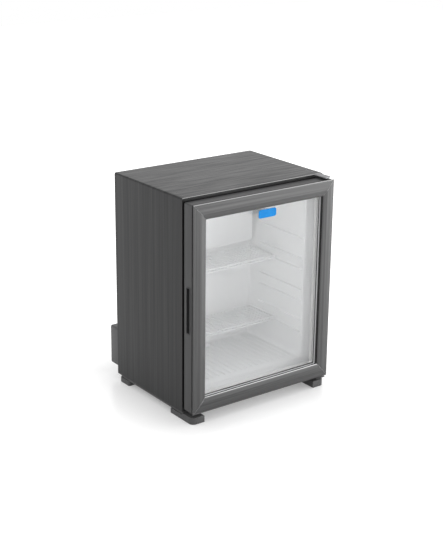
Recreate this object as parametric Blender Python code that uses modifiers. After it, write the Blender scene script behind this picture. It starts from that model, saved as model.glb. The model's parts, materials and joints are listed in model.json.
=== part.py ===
"""A small glass-door minibar fridge with an absorption cooler on its back.

Metres, +Z up. The front of the door faces -Y, +X is to the right as seen from the front,
and the origin is on the floor under the middle of the fridge.
"""

import math

import bmesh
import bpy

# Cabinet
CASE_WIDTH = 0.402
CASE_DEPTH = 0.275
CASE_HEIGHT = 0.507
COOLER_DEPTH = 0.087
SHEET = 0.001
CASE_CORNER = 0.004
GAP = 0.0003

# Base and feet
FOOT_HEIGHT = 0.013
BASE_HEIGHT = 0.008
BASE_INSET = 0.005
BASE_WALL = 0.004
FOOT_INSET = 0.003
FOOT_WIDTH = 0.035
FOOT_CORNER = 0.012
FRONT_FOOT_NOSE = 0.036
FRONT_FOOT_TAIL = 0.050
NOSE_RISE = 0.004
REAR_FOOT_LENGTH = 0.040
REAR_FOOT_CORNER = 0.005
FOOT_GROOVE = 0.0015
FOOT_GROOVE_INSET = 0.016

# Liner: walls are measured from the outside of the case to the inside of the cold space
SIDE_WALL = 0.036
TOP_WALL = 0.041
FLOOR_WALL = 0.044
BACK_WALL = 0.045
MOUTH_DEPTH = 0.022
MOUTH_FLARE = 0.010
MOUTH_TOP_FLARE = 0.005
MOUTH_FLOOR_FLARE = 0.007
LINER = 0.0015
LINER_CORNER = 0.009
UPPER_SHELF_DROP = 0.238
LOWER_SHELF_DROP = 0.399
SPARE_RIB_DROPS = (0.160, 0.211, 0.290, 0.3185, 0.367)
RIB_HEIGHT = 0.004
RIB_REACH = 0.005
RIB_START = 0.026
RIB_BACK_GAP = 0.042
FLOOR_RIB_PITCH = 0.012
FLOOR_RIB_WIDTH = 0.004
FLOOR_RIB_HEIGHT = 0.0012
FLOOR_RIB_MARGIN = 0.014

# Shelves, each lying on one level of the liner's ribs
SHELF_SIDE_PLAY = 0.0015
SHELF_FRONT = 0.120
SHELF_BACK_PLAY = 0.005
SHELF_THICKNESS = 0.003
SHELF_LIP = 0.010
SHELF_SLOT = 0.0085
SHELF_BAR = 0.0025
SHELF_RIM = 0.006

# Evaporator and its cover on the back wall
COVER_SIDE_GAP = 0.016
COVER_TOP_DROP = 0.052
COVER_FLOOR_DROP = 0.206
COVER_DEPTH = 0.030
COVER_WALL = 0.0015
COVER_CORNER = 0.006
FIN_MARGIN = 0.012
FIN_PLATE = 0.004
FIN_HEIGHT = 0.018
FIN_THICKNESS = 0.002
FIN_PITCH = 0.015

# Lamp and thermostat housing on the ceiling
LAMP_HALF_WIDTH = 0.055
LAMP_START = 0.045
LAMP_LENGTH = 0.050
LAMP_DEPTH = 0.014
LAMP_WALL = 0.0018
LENS_HALF_WIDTH = 0.021
LENS_OFFSET = -0.022
LENS_MARGIN = 0.009
KNOB_OFFSET = 0.032
KNOB_RADIUS = 0.011
KNOB_HEIGHT = 0.010
KNOB_STEM = 0.003

# Door, with depths measured back from its front face
DOOR_SIDE_INSET = 0.001
DOOR_TOP_DROP = 0.0067
DOOR_FLOOR_RISE = 0.0069
DOOR_REAR_GAP = 0.0055
DOOR_THICKNESS = 0.0375
BEZEL_WIDTH = 0.037
BEZEL_THICKNESS = 0.0054
BEZEL_ROUND = 0.0025
BEZEL_SLOPE = 0.012
BEZEL_DROP = 0.0038
MITRE_GAP = 0.00015
FRAME_INSET = 0.001
FRAME_REAR_ROUND = 0.004
FRAME_LIP = 0.030
FRAME_LIP_THICKNESS = 0.0027
SEAL_DEPTH = 0.0055
GLASS_OVERLAP = 0.012
GLASS_PLAY = 0.0005
PANE = 0.004
SPACER_WIDTH = 0.010
SPACER_INSET = 0.0025
GASKET_WIDTH = 0.011
GASKET_OFFSET = 0.0015
GASKET_BULB = 0.002
BADGE_WIDTH = 0.048
BADGE_HEIGHT = 0.020
BADGE_THICKNESS = 0.0008
BADGE_DROP = 0.006
BADGE_OFFSET = 0.010

# Recessed grip in the left edge of the door
GRIP_LENGTH = 0.109
GRIP_WIDTH = 0.013
GRIP_DEPTH = 0.015
GRIP_REAR = 0.0156
GRIP_WALL = 0.0012
GRIP_RIM = 0.0016
GRIP_RIM_THICKNESS = 0.0006

# Hinges
PIVOT_INSET = 0.012
PIVOT_BACK = 0.0185
HINGE_PLATE = 0.0025
HINGE_HALF_WIDTH = 0.010
HINGE_REACH = 0.012
HINGE_TAIL = 0.052
PIN_RADIUS = 0.003
PIN_PLAY = 0.0001
PIN_LENGTH = 0.012
BUSH_RADIUS = 0.005
BUSH_FLANGE = 0.007
BUSH_DEPTH = 0.014
HINGE_CLEARANCE = 0.0005
LEG_THICKNESS = 0.002
LEG_HEIGHT = 0.018
LEG_WIDTH = 0.027
SCREW_HEAD = 0.0035
SCREW_SHANK = 0.0018
SCREW_LENGTH = 0.012
SCREW_SIDE = 0.015
SCREW_ROWS = (0.021, 0.041)
LEG_SCREW_SPACING = 0.014

# Cooling unit on the back
JACKET_WIDTH = 0.072
JACKET_SIDE_GAP = 0.034
JACKET_FLOOR = 0.060
JACKET_HEIGHT = 0.310
JACKET_CORNER = 0.014
STAND_OFF = 0.012
PIPE = 0.0065
COIL_PIPE = 0.008
THIN_PIPE = 0.005
BEND = 0.016
CONDENSER_DROP = 0.058
CONDENSER_REACH = 0.030
VAPOUR_REACH = 0.037
FIN_SHEET = 0.001
CONDENSER_FIN_PITCH = 0.013
CONDENSER_FIN_WIDTH = 0.066
CONDENSER_FIN_HEIGHT = 0.056
LIQUID_DROP = 0.088
RETURN_DROP = 0.150
WALL_PIPE_SIDE = 0.076
RETURN_FALL = 0.048
COIL_PASSES = 6
COIL_STRAIGHT = 0.003
COIL_OUTLET = 0.046
COIL_SIDE = 0.041
COIL_JACKET_GAP = 0.045
VESSEL_RADIUS = 0.024
VESSEL_INSET = 0.070
VESSEL_JACKET_GAP = 0.020
VESSEL_FLOOR = 0.061
BOX_SIDE = 0.011
BOX_WIDTH = 0.075
BOX_DEPTH = 0.050
BOX_HEIGHT = 0.100
BOX_FLOOR = 0.030
INLET_WIDTH = 0.031
INLET_HEIGHT = 0.025
INLET_WALL = 0.003
INLET_DEPTH = 0.012
INLET_LIP = 0.002
LEAD_RADIUS = 0.0025
LEAD_BEND = 0.012
HEATER_RADIUS = 0.006
HEATER_HEIGHT = 0.015
BRACKET_WIDTH = 0.022

# Places worked out from the sizes above
CASE_BOTTOM = FOOT_HEIGHT + BASE_HEIGHT
CASE_TOP = CASE_BOTTOM + CASE_HEIGHT
HALF_CASE = CASE_WIDTH / 2
INSIDE = HALF_CASE - SHEET - GAP
DOOR_STANDOFF = DOOR_THICKNESS + DOOR_REAR_GAP
DOOR_FRONT = -(DOOR_STANDOFF + CASE_DEPTH + COOLER_DEPTH) / 2
CASE_FRONT = DOOR_FRONT + DOOR_STANDOFF
CASE_BACK = CASE_FRONT + CASE_DEPTH
DOOR_BACK = CASE_FRONT - DOOR_REAR_GAP
DOOR_TOP = CASE_TOP - DOOR_TOP_DROP
DOOR_BOTTOM = CASE_BOTTOM + DOOR_FLOOR_RISE
HALF_DOOR = HALF_CASE - DOOR_SIDE_INSET
DOOR_MIDDLE = (DOOR_TOP + DOOR_BOTTOM) / 2
CAVITY_DEPTH = CASE_DEPTH - BACK_WALL
CAVITY_HALF = HALF_CASE - SIDE_WALL
CAVITY_TOP = CASE_TOP - TOP_WALL
CAVITY_FLOOR = CASE_BOTTOM + FLOOR_WALL
CAVITY_BACK = CASE_FRONT + CAVITY_DEPTH
RIB_DROPS = (UPPER_SHELF_DROP, LOWER_SHELF_DROP, *SPARE_RIB_DROPS)
COVER_HALF_WIDTH = CAVITY_HALF - COVER_SIDE_GAP
PIVOT_X = HALF_DOOR - PIVOT_INSET
PIVOT_Y = DOOR_FRONT + PIVOT_BACK
GLASS_EDGE = BEZEL_WIDTH - GLASS_OVERLAP
SEAL_FRONT = BEZEL_THICKNESS + GAP
OUTER_GLASS_FRONT = SEAL_FRONT + SEAL_DEPTH + GAP
SPACER_FRONT = OUTER_GLASS_FRONT + PANE + GAP
FRAME_LIP_FRONT = DOOR_THICKNESS - FRAME_LIP_THICKNESS
INNER_GLASS_FRONT = FRAME_LIP_FRONT - GAP - PANE
SPACER_BACK = INNER_GLASS_FRONT - GAP
GRIP_Y = DOOR_FRONT + DOOR_THICKNESS - GRIP_REAR
GRIP_FACE = -HALF_DOOR + FRAME_INSET
PLATE_TOP = CASE_TOP - SHEET - GAP
PLATE_BOTTOM = PLATE_TOP - HINGE_PLATE
LEG_BOTTOM = CASE_BOTTOM + GAP
UNIT_FRONT = CASE_BACK + STAND_OFF
JACKET_BACK = CASE_BACK + COOLER_DEPTH
UNIT_Y = (UNIT_FRONT + JACKET_BACK) / 2
CONDENSER_Z = CASE_TOP - CONDENSER_DROP
LIQUID_Z = CASE_TOP - LIQUID_DROP
RETURN_Z = CASE_TOP - RETURN_DROP
JACKET_X = HALF_CASE - JACKET_SIDE_GAP - JACKET_WIDTH / 2
JACKET_LEFT = JACKET_X - JACKET_WIDTH / 2
JACKET_TOP = JACKET_FLOOR + JACKET_HEIGHT
VAPOUR_X = JACKET_X - JACKET_WIDTH / 8
HEATER_X = JACKET_X + JACKET_WIDTH / 4
WALL_PIPE_X = -HALF_CASE + WALL_PIPE_SIDE
CONDENSER_LEFT = WALL_PIPE_X + CONDENSER_REACH
CONDENSER_RIGHT = VAPOUR_X - VAPOUR_REACH
VESSEL_Z = VESSEL_FLOOR + VESSEL_RADIUS
COIL_Y = UNIT_FRONT + GAP + COIL_PIPE
COIL_LEFT = -HALF_CASE + COIL_SIDE
COIL_RIGHT = JACKET_LEFT - COIL_JACKET_GAP
COIL_TOP = RETURN_Z - RETURN_FALL
COIL_FLOOR = VESSEL_Z + VESSEL_RADIUS + COIL_OUTLET
COIL_PITCH = (COIL_TOP - COIL_FLOOR) / (COIL_PASSES - 1)
COIL_BEND = (COIL_PITCH - COIL_STRAIGHT) / 2
COIL_START = COIL_TOP + COIL_BEND + COIL_PIPE
VESSEL_LEFT = COIL_LEFT + VESSEL_INSET
VESSEL_RIGHT = JACKET_LEFT - VESSEL_JACKET_GAP
VESSEL_Y = COIL_Y + VESSEL_RADIUS / 3
BOX_LEFT = -HALF_CASE + BOX_SIDE
FIN_PLATE_BACK = CAVITY_BACK - GAP

ARC_STEPS = 4
ROUND_SIDES = 24

FINISHES = {
    "brushed_case": ((0.085, 0.086, 0.088), 0.42, 0.75),
    "brushed_bezel": ((0.105, 0.106, 0.108), 0.38, 0.80),
    "door_plastic": ((0.035, 0.035, 0.037), 0.50, 0.0),
    "base_plastic": ((0.020, 0.020, 0.021), 0.60, 0.0),
    "gasket_rubber": ((0.025, 0.025, 0.026), 0.75, 0.0),
    "liner_plastic": ((0.82, 0.83, 0.84), 0.45, 0.0),
    "foam": ((0.78, 0.70, 0.48), 0.95, 0.0),
    "shelf_coating": ((0.86, 0.87, 0.88), 0.35, 0.0),
    "clear_glass": ((0.92, 0.96, 0.95), 0.03, 0.0),
    "spacer_metal": ((0.45, 0.45, 0.46), 0.40, 1.0),
    "badge_blue": ((0.02, 0.22, 0.62), 0.35, 0.0),
    "hinge_steel": ((0.55, 0.55, 0.56), 0.35, 1.0),
    "zinc_sheet": ((0.42, 0.43, 0.45), 0.50, 0.9),
    "black_pipe": ((0.030, 0.030, 0.032), 0.55, 0.3),
    "fin_aluminium": ((0.70, 0.71, 0.72), 0.40, 1.0),
    "white_lens": ((0.90, 0.90, 0.88), 0.30, 0.0),
    "board_green": ((0.03, 0.16, 0.07), 0.50, 0.0),
    "lead_black": ((0.02, 0.02, 0.02), 0.60, 0.0),
}


def clear_scene():
    for obj in list(bpy.data.objects):
        bpy.data.objects.remove(obj, do_unlink=True)


def new_collection(name):
    made = bpy.data.collections.new(name)
    bpy.context.scene.collection.children.link(made)
    return made


def finish_of(name):
    found = bpy.data.materials.get(name)
    if found:
        return found
    colour, roughness, metallic = FINISHES[name]
    made = bpy.data.materials.new(name)
    made.use_nodes = True
    shader = made.node_tree.nodes["Principled BSDF"]
    shader.inputs["Base Color"].default_value = (*colour, 1.0)
    shader.inputs["Roughness"].default_value = roughness
    shader.inputs["Metallic"].default_value = metallic
    if name == "clear_glass":
        shader.inputs["Transmission Weight"].default_value = 0.9
    made.diffuse_color = (*colour, 1.0)
    return made


def add_object(name, data, finish, place=(0, 0, 0)):
    """Put mesh or curve data in the scene, as a part or, with no finish, as a cutter."""
    obj = bpy.data.objects.new(name, data)
    obj.location = place
    if finish:
        parts.objects.link(obj)
        data.materials.append(finish_of(finish))
    else:
        cutters.objects.link(obj)
        obj.hide_render = True
        obj.display_type = "WIRE"
    return obj


def finish_mesh(bm, name):
    bmesh.ops.recalc_face_normals(bm, faces=bm.faces)
    if bm.calc_volume(signed=True) < 0:
        bmesh.ops.reverse_faces(bm, faces=bm.faces)
    mesh = bpy.data.meshes.new(name)
    bm.to_mesh(mesh)
    bm.free()
    mesh.shade_smooth()
    mesh.set_sharp_from_angle(angle=math.radians(35))
    return mesh


def bevel(obj, width, segments=2):
    edge = obj.modifiers.new("edge", "BEVEL")
    edge.width = width
    edge.segments = segments
    edge.limit_method = "ANGLE"
    return obj


def cut(obj, *tools, operation="DIFFERENCE"):
    for tool in tools:
        change = obj.modifiers.new(tool.name, "BOOLEAN")
        change.operation = operation
        change.solver = "EXACT"
        change.object = tool
    return obj


def add_cube(bm, low, high):
    made = bmesh.ops.create_cube(bm, size=1.0)["verts"]
    size = [b - a for a, b in zip(low, high)]
    middle = [(a + b) / 2 for a, b in zip(low, high)]
    bmesh.ops.scale(bm, vec=size, verts=made)
    bmesh.ops.translate(bm, vec=middle, verts=made)


def box(name, low, high, finish=None, round_edge=0.0):
    """A box between two corners, with its origin at its middle."""
    middle = [(a + b) / 2 for a, b in zip(low, high)]
    bm = bmesh.new()
    add_cube(bm, [a - m for a, m in zip(low, middle)], [b - m for b, m in zip(high, middle)])
    obj = add_object(name, finish_mesh(bm, name), finish, middle)
    return bevel(obj, round_edge) if round_edge else obj


def boxes(name, corners):
    """Many boxes in one mesh, to cut with or to join on."""
    bm = bmesh.new()
    for low, high in corners:
        add_cube(bm, low, high)
    return add_object(name, finish_mesh(bm, name), None)


def on_axis(axis, along, a, b):
    """The point at `along` on an axis, with a and b on the other two, in X, Y, Z order."""
    return {"X": (along, a, b), "Y": (a, along, b), "Z": (a, b, along)}[axis]


def cylinder(name, axis, middle, radius, length, finish=None, round_edge=0.0):
    turns = {"X": (0, math.pi / 2, 0), "Y": (math.pi / 2, 0, 0), "Z": (0, 0, 0)}
    bm = bmesh.new()
    bmesh.ops.create_cone(bm, cap_ends=True, segments=ROUND_SIDES, radius1=radius,
                          radius2=radius, depth=length)
    obj = add_object(name, finish_mesh(bm, name), finish, middle)
    obj.rotation_euler = turns[axis]
    return bevel(obj, round_edge) if round_edge else obj


def turned(name, profile, place, finish):
    """A round piece on a vertical axis, from (radius, height) points that run top to bottom."""
    bm = bmesh.new()
    points = [bm.verts.new((radius, 0, height)) for radius, height in profile]
    for a, b in zip(points, points[1:]):
        bm.edges.new((a, b))
    mesh = bpy.data.meshes.new(name)
    bm.to_mesh(mesh)
    bm.free()
    obj = add_object(name, mesh, finish, place)
    spin = obj.modifiers.new("turn", "SCREW")
    spin.steps = ROUND_SIDES
    spin.render_steps = ROUND_SIDES
    spin.use_merge_vertices = True
    spin.merge_threshold = 0.00005
    return obj


def rounded(a0, a1, b0, b1, radius):
    """The outline of a rectangle with round corners, anticlockwise."""
    centres = ((a1 - radius, b0 + radius, -90), (a1 - radius, b1 - radius, 0),
               (a0 + radius, b1 - radius, 90), (a0 + radius, b0 + radius, 180))
    outline = []
    for a, b, start in centres:
        for step in range(ARC_STEPS + 1):
            angle = math.radians(start + 90 * step / ARC_STEPS)
            outline.append((a + radius * math.cos(angle), b + radius * math.sin(angle)))
    return outline


def skin(bm, rows, ring=False):
    """Quads between each row of points and the next, with the ends closed unless it is a ring."""
    pairs = list(zip(rows, rows[1:]))
    if ring:
        pairs.append((rows[-1], rows[0]))
    for first, second in pairs:
        for index in range(len(first)):
            bm.faces.new((first[index - 1], first[index], second[index], second[index - 1]))
    if not ring:
        bm.faces.new(rows[0])
        bm.faces.new(rows[-1])


def loft(name, axis, loops, finish=None, ring=False):
    """Join outlines of equal length: each loop is (place on the axis, outline)."""
    bm = bmesh.new()
    rows = [[bm.verts.new(on_axis(axis, along, a, b)) for a, b in outline]
            for along, outline in loops]
    skin(bm, rows, ring)
    return add_object(name, finish_mesh(bm, name), finish)


def prism(name, axis, start, end, outline, finish=None):
    return loft(name, axis, [(start, outline), (end, outline)], finish)


def inset_rect(half, low, high, inset, corner):
    """A rounded rectangle in X and Z, drawn in by `inset` on every side."""
    return rounded(-half + inset, half - inset, low + inset, high - inset, corner)


def bent_path(points, bend, steps=5):
    """A path whose corners are turned into arcs of radius `bend`."""
    path = [points[0]]
    for before, corner, after in zip(points, points[1:], points[2:]):
        back = [b - c for b, c in zip(before, corner)]
        ahead = [a - c for a, c in zip(after, corner)]
        back_length = math.hypot(*back)
        ahead_length = math.hypot(*ahead)
        back = [v / back_length for v in back]
        ahead = [v / ahead_length for v in ahead]
        half = math.acos(sum(p * q for p, q in zip(back, ahead))) / 2
        reach = bend / math.tan(half)
        middle = [p + q for p, q in zip(back, ahead)]
        middle_length = math.hypot(*middle)
        centre = [c + m / middle_length * bend / math.sin(half) for c, m in zip(corner, middle)]
        start = [c + v * reach - o for c, v, o in zip(corner, back, centre)]
        end = [c + v * reach - o for c, v, o in zip(corner, ahead, centre)]
        sweep = math.pi - 2 * half
        for step in range(steps + 1):
            angle = sweep * step / steps
            near = math.sin(sweep - angle) / math.sin(sweep)
            far = math.sin(angle) / math.sin(sweep)
            path.append([o + s * near + e * far for o, s, e in zip(centre, start, end)])
    path.append(points[-1])
    return path


def tube(name, points, radius, finish):
    curve = bpy.data.curves.new(name, "CURVE")
    curve.dimensions = "3D"
    curve.bevel_depth = radius
    curve.bevel_resolution = 2
    curve.use_fill_caps = True
    line = curve.splines.new("POLY")
    line.points.add(len(points) - 1)
    for knot, place in zip(line.points, points):
        knot.co = (*place, 1.0)
    return add_object(name, curve, finish)


def as_mesh(obj, finish):
    """Turn a tube into a closed mesh, which can then be cut and joined."""
    graph = bpy.context.evaluated_depsgraph_get()
    mesh = bpy.data.meshes.new_from_object(obj.evaluated_get(graph))
    bm = bmesh.new()
    bm.from_mesh(mesh)
    bmesh.ops.remove_doubles(bm, verts=bm.verts, dist=0.00002)
    bm.to_mesh(mesh)
    bm.free()
    name = obj.name
    matrix = obj.matrix_world.copy()
    bpy.data.objects.remove(obj, do_unlink=True)
    mesh.materials.clear()
    made = add_object(name, mesh, finish)
    made.matrix_world = matrix
    return made


def pivot(name, place):
    """An empty that the pieces of one moving body hang on."""
    empty = bpy.data.objects.new(name, None)
    empty.location = place
    parts.objects.link(empty)
    bpy.context.view_layer.update()
    return empty


def hang(parent, *pieces):
    for piece in pieces:
        piece.parent = parent
        piece.matrix_parent_inverse = parent.matrix_world.inverted()


def screw_holes(name, extra):
    """Round cutters for the four fixing holes in the top of the case."""
    bm = bmesh.new()
    for side in (-1, 1):
        for row in SCREW_ROWS:
            made = bmesh.ops.create_cone(bm, cap_ends=True, segments=ROUND_SIDES,
                                         radius1=extra, radius2=extra, depth=4 * SCREW_LENGTH)
            place = (side * (HALF_CASE - SCREW_SIDE), CASE_FRONT + row, CASE_TOP)
            bmesh.ops.translate(bm, vec=place, verts=made["verts"])
    return add_object(name, finish_mesh(bm, name), None)


def outer_case():
    """One folded sheet over the left side, the top and the right side."""
    def wrap(half, top, radius):
        path = [(-half, CASE_BOTTOM)]
        for centre, start in ((-half + radius, 180), (half - radius, 90)):
            for step in range(ARC_STEPS + 1):
                angle = math.radians(start - 90 * step / ARC_STEPS)
                path.append((centre + radius * math.cos(angle),
                             top - radius + radius * math.sin(angle)))
        return path + [(half, CASE_BOTTOM)]

    outside = wrap(HALF_CASE, CASE_TOP, CASE_CORNER)
    inner = wrap(HALF_CASE - SHEET, CASE_TOP - SHEET, CASE_CORNER - SHEET)
    case = prism("outer_case", "Y", CASE_FRONT, CASE_BACK, outside + inner[::-1], "brushed_case")
    return cut(case, screw_holes("case_screw_holes", SCREW_HEAD + GAP))


def rear_panel():
    """Sheet that closes the back of the case, with two holes for the pipes."""
    outline = rounded(-INSIDE, INSIDE, CASE_BOTTOM + SHEET + GAP, CASE_TOP - SHEET - GAP,
                      CASE_CORNER - SHEET)
    panel = prism("rear_panel", "Y", CASE_BACK - SHEET, CASE_BACK, outline, "zinc_sheet")
    return cut(panel, *pipe_holes("panel"))


def pipe_holes(name):
    reach = 2 * (CASE_DEPTH - CAVITY_DEPTH)
    return [cylinder(f"{name}_hole_{row}", "Y", (WALL_PIPE_X, CASE_BACK, height),
                     PIPE + GAP, 2 * reach)
            for row, height in enumerate((LIQUID_Z, RETURN_Z))]


def bottom_panel():
    low = (-INSIDE, CASE_FRONT + LINER + GAP, CASE_BOTTOM)
    high = (INSIDE, CASE_BACK, CASE_BOTTOM + SHEET)
    return box("bottom_panel", low, high, "zinc_sheet")


def cavity_loops(grow, front, back):
    """Outlines of the cold space from the mouth to the back wall, grown by `grow`."""
    half = CAVITY_HALF + grow
    low = CAVITY_FLOOR - grow
    high = CAVITY_TOP + grow
    corner = LINER_CORNER + grow
    mouth = rounded(-half - MOUTH_FLARE, half + MOUTH_FLARE, low - MOUTH_FLOOR_FLARE,
                    high + MOUTH_TOP_FLARE, corner)
    wall = rounded(-half, half, low, high, corner)
    return [(front, mouth), (CASE_FRONT + MOUTH_DEPTH, wall), (back, wall)]


def insulation_foam():
    """Foam between the case and the liner, open at the front."""
    front = CASE_FRONT + LINER + GAP
    back = CASE_BACK - SHEET - GAP
    outline = rounded(-INSIDE, INSIDE, CASE_BOTTOM + SHEET + GAP, CASE_TOP - SHEET - GAP,
                      CASE_CORNER - SHEET)
    foam = prism("insulation_foam", "Y", front, back, outline, "foam")
    grow = LINER + GAP
    space = loft("foam_space", "Y",
                 cavity_loops(grow, CASE_FRONT + LINER, CAVITY_BACK + grow))
    return cut(foam, space, hinge_pocket("foam_hinge_pocket"),
               screw_holes("foam_screw_holes", SCREW_SHANK + GAP), *pipe_holes("foam"))


def hinge_pocket(name):
    """Room for the top hinge plate under the top of the case."""
    middle = HALF_CASE - SCREW_SIDE
    low = (middle - HINGE_HALF_WIDTH - GAP, CASE_FRONT - LINER, PLATE_BOTTOM - GAP)
    high = (middle + HINGE_HALF_WIDTH + GAP, CASE_FRONT + HINGE_TAIL + GAP, CASE_TOP)
    return box(name, low, high)


def inner_liner():
    """White inner box with a flange at the front, shelf ribs and a ribbed floor."""
    rim = rounded(-INSIDE, INSIDE, CASE_BOTTOM, CASE_TOP - SHEET - GAP, CASE_CORNER - SHEET)
    inside = cavity_loops(0, CASE_FRONT, CAVITY_BACK)
    outside = cavity_loops(LINER, CASE_FRONT + LINER, CAVITY_BACK + LINER)
    loops = inside[::-1] + [(CASE_FRONT, rim), (CASE_FRONT + LINER, rim)] + outside
    liner = loft("inner_liner", "Y", loops, "liner_plastic")
    cut(liner, boxes("liner_ribs", shelf_ribs() + floor_ribs()), operation="UNION")
    return cut(liner, hinge_pocket("liner_hinge_pocket"), *pipe_holes("liner"))


def rib_top(drop):
    return CASE_TOP - drop + RIB_HEIGHT / 2


def shelf_ribs():
    ribs = []
    for drop in RIB_DROPS:
        for side in (-1, 1):
            ends = sorted((side * (CAVITY_HALF - RIB_REACH), side * (CAVITY_HALF + LINER / 2)))
            low = (ends[0], CASE_FRONT + RIB_START, rib_top(drop) - RIB_HEIGHT)
            high = (ends[1], CAVITY_BACK - RIB_BACK_GAP, rib_top(drop))
            ribs.append((low, high))
    return ribs


def floor_ribs():
    half = CAVITY_HALF - FLOOR_RIB_MARGIN
    count = int(2 * half / FLOOR_RIB_PITCH)
    ribs = []
    for index in range(count + 1):
        middle = (index - count / 2) * FLOOR_RIB_PITCH
        low = (middle - FLOOR_RIB_WIDTH / 2, CASE_FRONT + MOUTH_DEPTH + FLOOR_RIB_MARGIN,
               CAVITY_FLOOR - LINER / 2)
        high = (middle + FLOOR_RIB_WIDTH / 2, CAVITY_BACK - FLOOR_RIB_MARGIN,
                CAVITY_FLOOR + FLOOR_RIB_HEIGHT)
        ribs.append((low, high))
    return ribs


def base_frame():
    """Plastic tray under the case, open downwards."""
    half = HALF_CASE - BASE_INSET
    front = CASE_FRONT + BASE_INSET / 2
    back = CASE_BACK - BASE_INSET
    top = CASE_BOTTOM - GAP
    corner = BASE_INSET
    outline = rounded(-half, half, front, back, corner)
    inner = rounded(-half + BASE_WALL, half - BASE_WALL, front + BASE_WALL, back - BASE_WALL,
                    corner - BASE_WALL)
    loops = [(top, outline), (FOOT_HEIGHT, outline), (FOOT_HEIGHT, inner),
             (top - BASE_WALL, inner)]
    return loft("base_frame", "Z", loops, "base_plastic")


def mirrored(outline, side):
    return [(side * a, b) for a, b in outline]


def front_foot(name, side):
    """A foot that runs forward under the door, with a round outer corner at its nose."""
    outer = HALF_CASE - FOOT_INSET
    inner = outer - FOOT_WIDTH
    nose = CASE_FRONT - FRONT_FOOT_NOSE
    tail = CASE_FRONT + FRONT_FOOT_TAIL
    outline = [(inner, nose), (inner, tail), (outer, tail)]
    for step in range(2 * ARC_STEPS + 1):
        angle = math.radians(-90 * step / (2 * ARC_STEPS))
        outline.append((outer - FOOT_CORNER + FOOT_CORNER * math.cos(angle),
                        nose + FOOT_CORNER + FOOT_CORNER * math.sin(angle)))
    foot = prism(name, "Z", 0, FOOT_HEIGHT + NOSE_RISE, mirrored(outline, side), "base_plastic")
    base_front = CASE_FRONT + BASE_INSET / 2
    ends = sorted((side * (inner - FOOT_INSET), side * (outer + FOOT_INSET)))
    seat = box(name + "_seat", (ends[0], base_front - GAP, FOOT_HEIGHT - GAP),
               (ends[1], tail + GAP, CASE_BOTTOM))
    middle = side * (outer - FOOT_GROOVE_INSET)
    groove = box(name + "_groove", (middle - FOOT_GROOVE / 2, nose - FOOT_GROOVE, -FOOT_GROOVE),
                 (middle + FOOT_GROOVE / 2, nose + FOOT_GROOVE, CASE_BOTTOM))
    return cut(foot, seat, groove)


def rear_foot(name, side):
    outer = HALF_CASE - FOOT_INSET
    back = CASE_BACK - BASE_INSET
    ends = sorted((side * outer, side * (outer - FOOT_WIDTH)))
    outline = rounded(ends[0], ends[1], back - REAR_FOOT_LENGTH, back, REAR_FOOT_CORNER)
    return prism(name, "Z", 0, FOOT_HEIGHT - GAP, outline, "base_plastic")


def shelf(name, drop):
    """A rack of bars with a raised lip all round, lying on the liner's ribs."""
    half = CAVITY_HALF - SHELF_SIDE_PLAY
    low = rib_top(drop) + GAP
    high = low + SHELF_THICKNESS
    front = CASE_FRONT + SHELF_FRONT
    back = CAVITY_BACK - SHELF_BACK_PLAY
    middle = (front + back) / 2
    rack = box(name, (-half, front, low), (half, back, high), "shelf_coating")
    pitch = SHELF_SLOT + SHELF_BAR
    count = int((2 * (half - SHELF_RIM) + SHELF_BAR) / pitch)
    slots = []
    for index in range(count):
        centre = (index - (count - 1) / 2) * pitch
        for start, end in ((front + SHELF_RIM, middle - SHELF_BAR / 2),
                           (middle + SHELF_BAR / 2, back - SHELF_RIM)):
            slots.append(((centre - SHELF_SLOT / 2, start, low - SHELF_THICKNESS),
                          (centre + SHELF_SLOT / 2, end, high + SHELF_THICKNESS)))
    cut(rack, boxes(name + "_slots", slots))
    root = low + SHELF_THICKNESS / 2
    tip = low + SHELF_LIP

    def outline(inset):
        return [(-half + inset, front + inset), (half - inset, front + inset),
                (half - inset, back - inset), (-half + inset, back - inset)]

    outside = outline(0)
    inside = outline(SHELF_THICKNESS)
    lip = loft(name + "_lip", "Z", [(root, outside), (tip, outside), (tip, inside),
                                    (root, inside)], ring=True)
    return cut(rack, lip, operation="UNION")


def evaporator_cover():
    """Cover over the fins in the upper back of the cold space, open to the wall."""
    low = CASE_TOP - COVER_FLOOR_DROP
    high = CASE_TOP - COVER_TOP_DROP
    back = CAVITY_BACK - GAP
    front = back - COVER_DEPTH
    outline = inset_rect(COVER_HALF_WIDTH, low, high, 0, COVER_CORNER)
    inner = inset_rect(COVER_HALF_WIDTH, low, high, COVER_WALL, COVER_CORNER - COVER_WALL)
    loops = [(front, outline), (back, outline), (back, inner), (front + COVER_WALL, inner)]
    return loft("evaporator_cover", "Y", loops, "liner_plastic")


def evaporator_fins():
    """Plate on the back wall with upright fins, as one comb-shaped outline."""
    half = COVER_HALF_WIDTH - FIN_MARGIN
    low = CASE_TOP - COVER_FLOOR_DROP + FIN_MARGIN
    high = CASE_TOP - COVER_TOP_DROP - FIN_MARGIN
    root = FIN_PLATE_BACK - FIN_PLATE
    tip = root - FIN_HEIGHT
    count = int((2 * half - FIN_THICKNESS) / FIN_PITCH)
    outline = [(half, FIN_PLATE_BACK), (-half, FIN_PLATE_BACK), (-half, root)]
    for index in range(count + 1):
        middle = (index - count / 2) * FIN_PITCH
        left = middle - FIN_THICKNESS / 2
        right = middle + FIN_THICKNESS / 2
        outline += [(left, root), (left, tip), (right, tip), (right, root)]
    outline.append((half, root))
    return prism("evaporator_fins", "Z", low, high, outline, "fin_aluminium")


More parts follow.
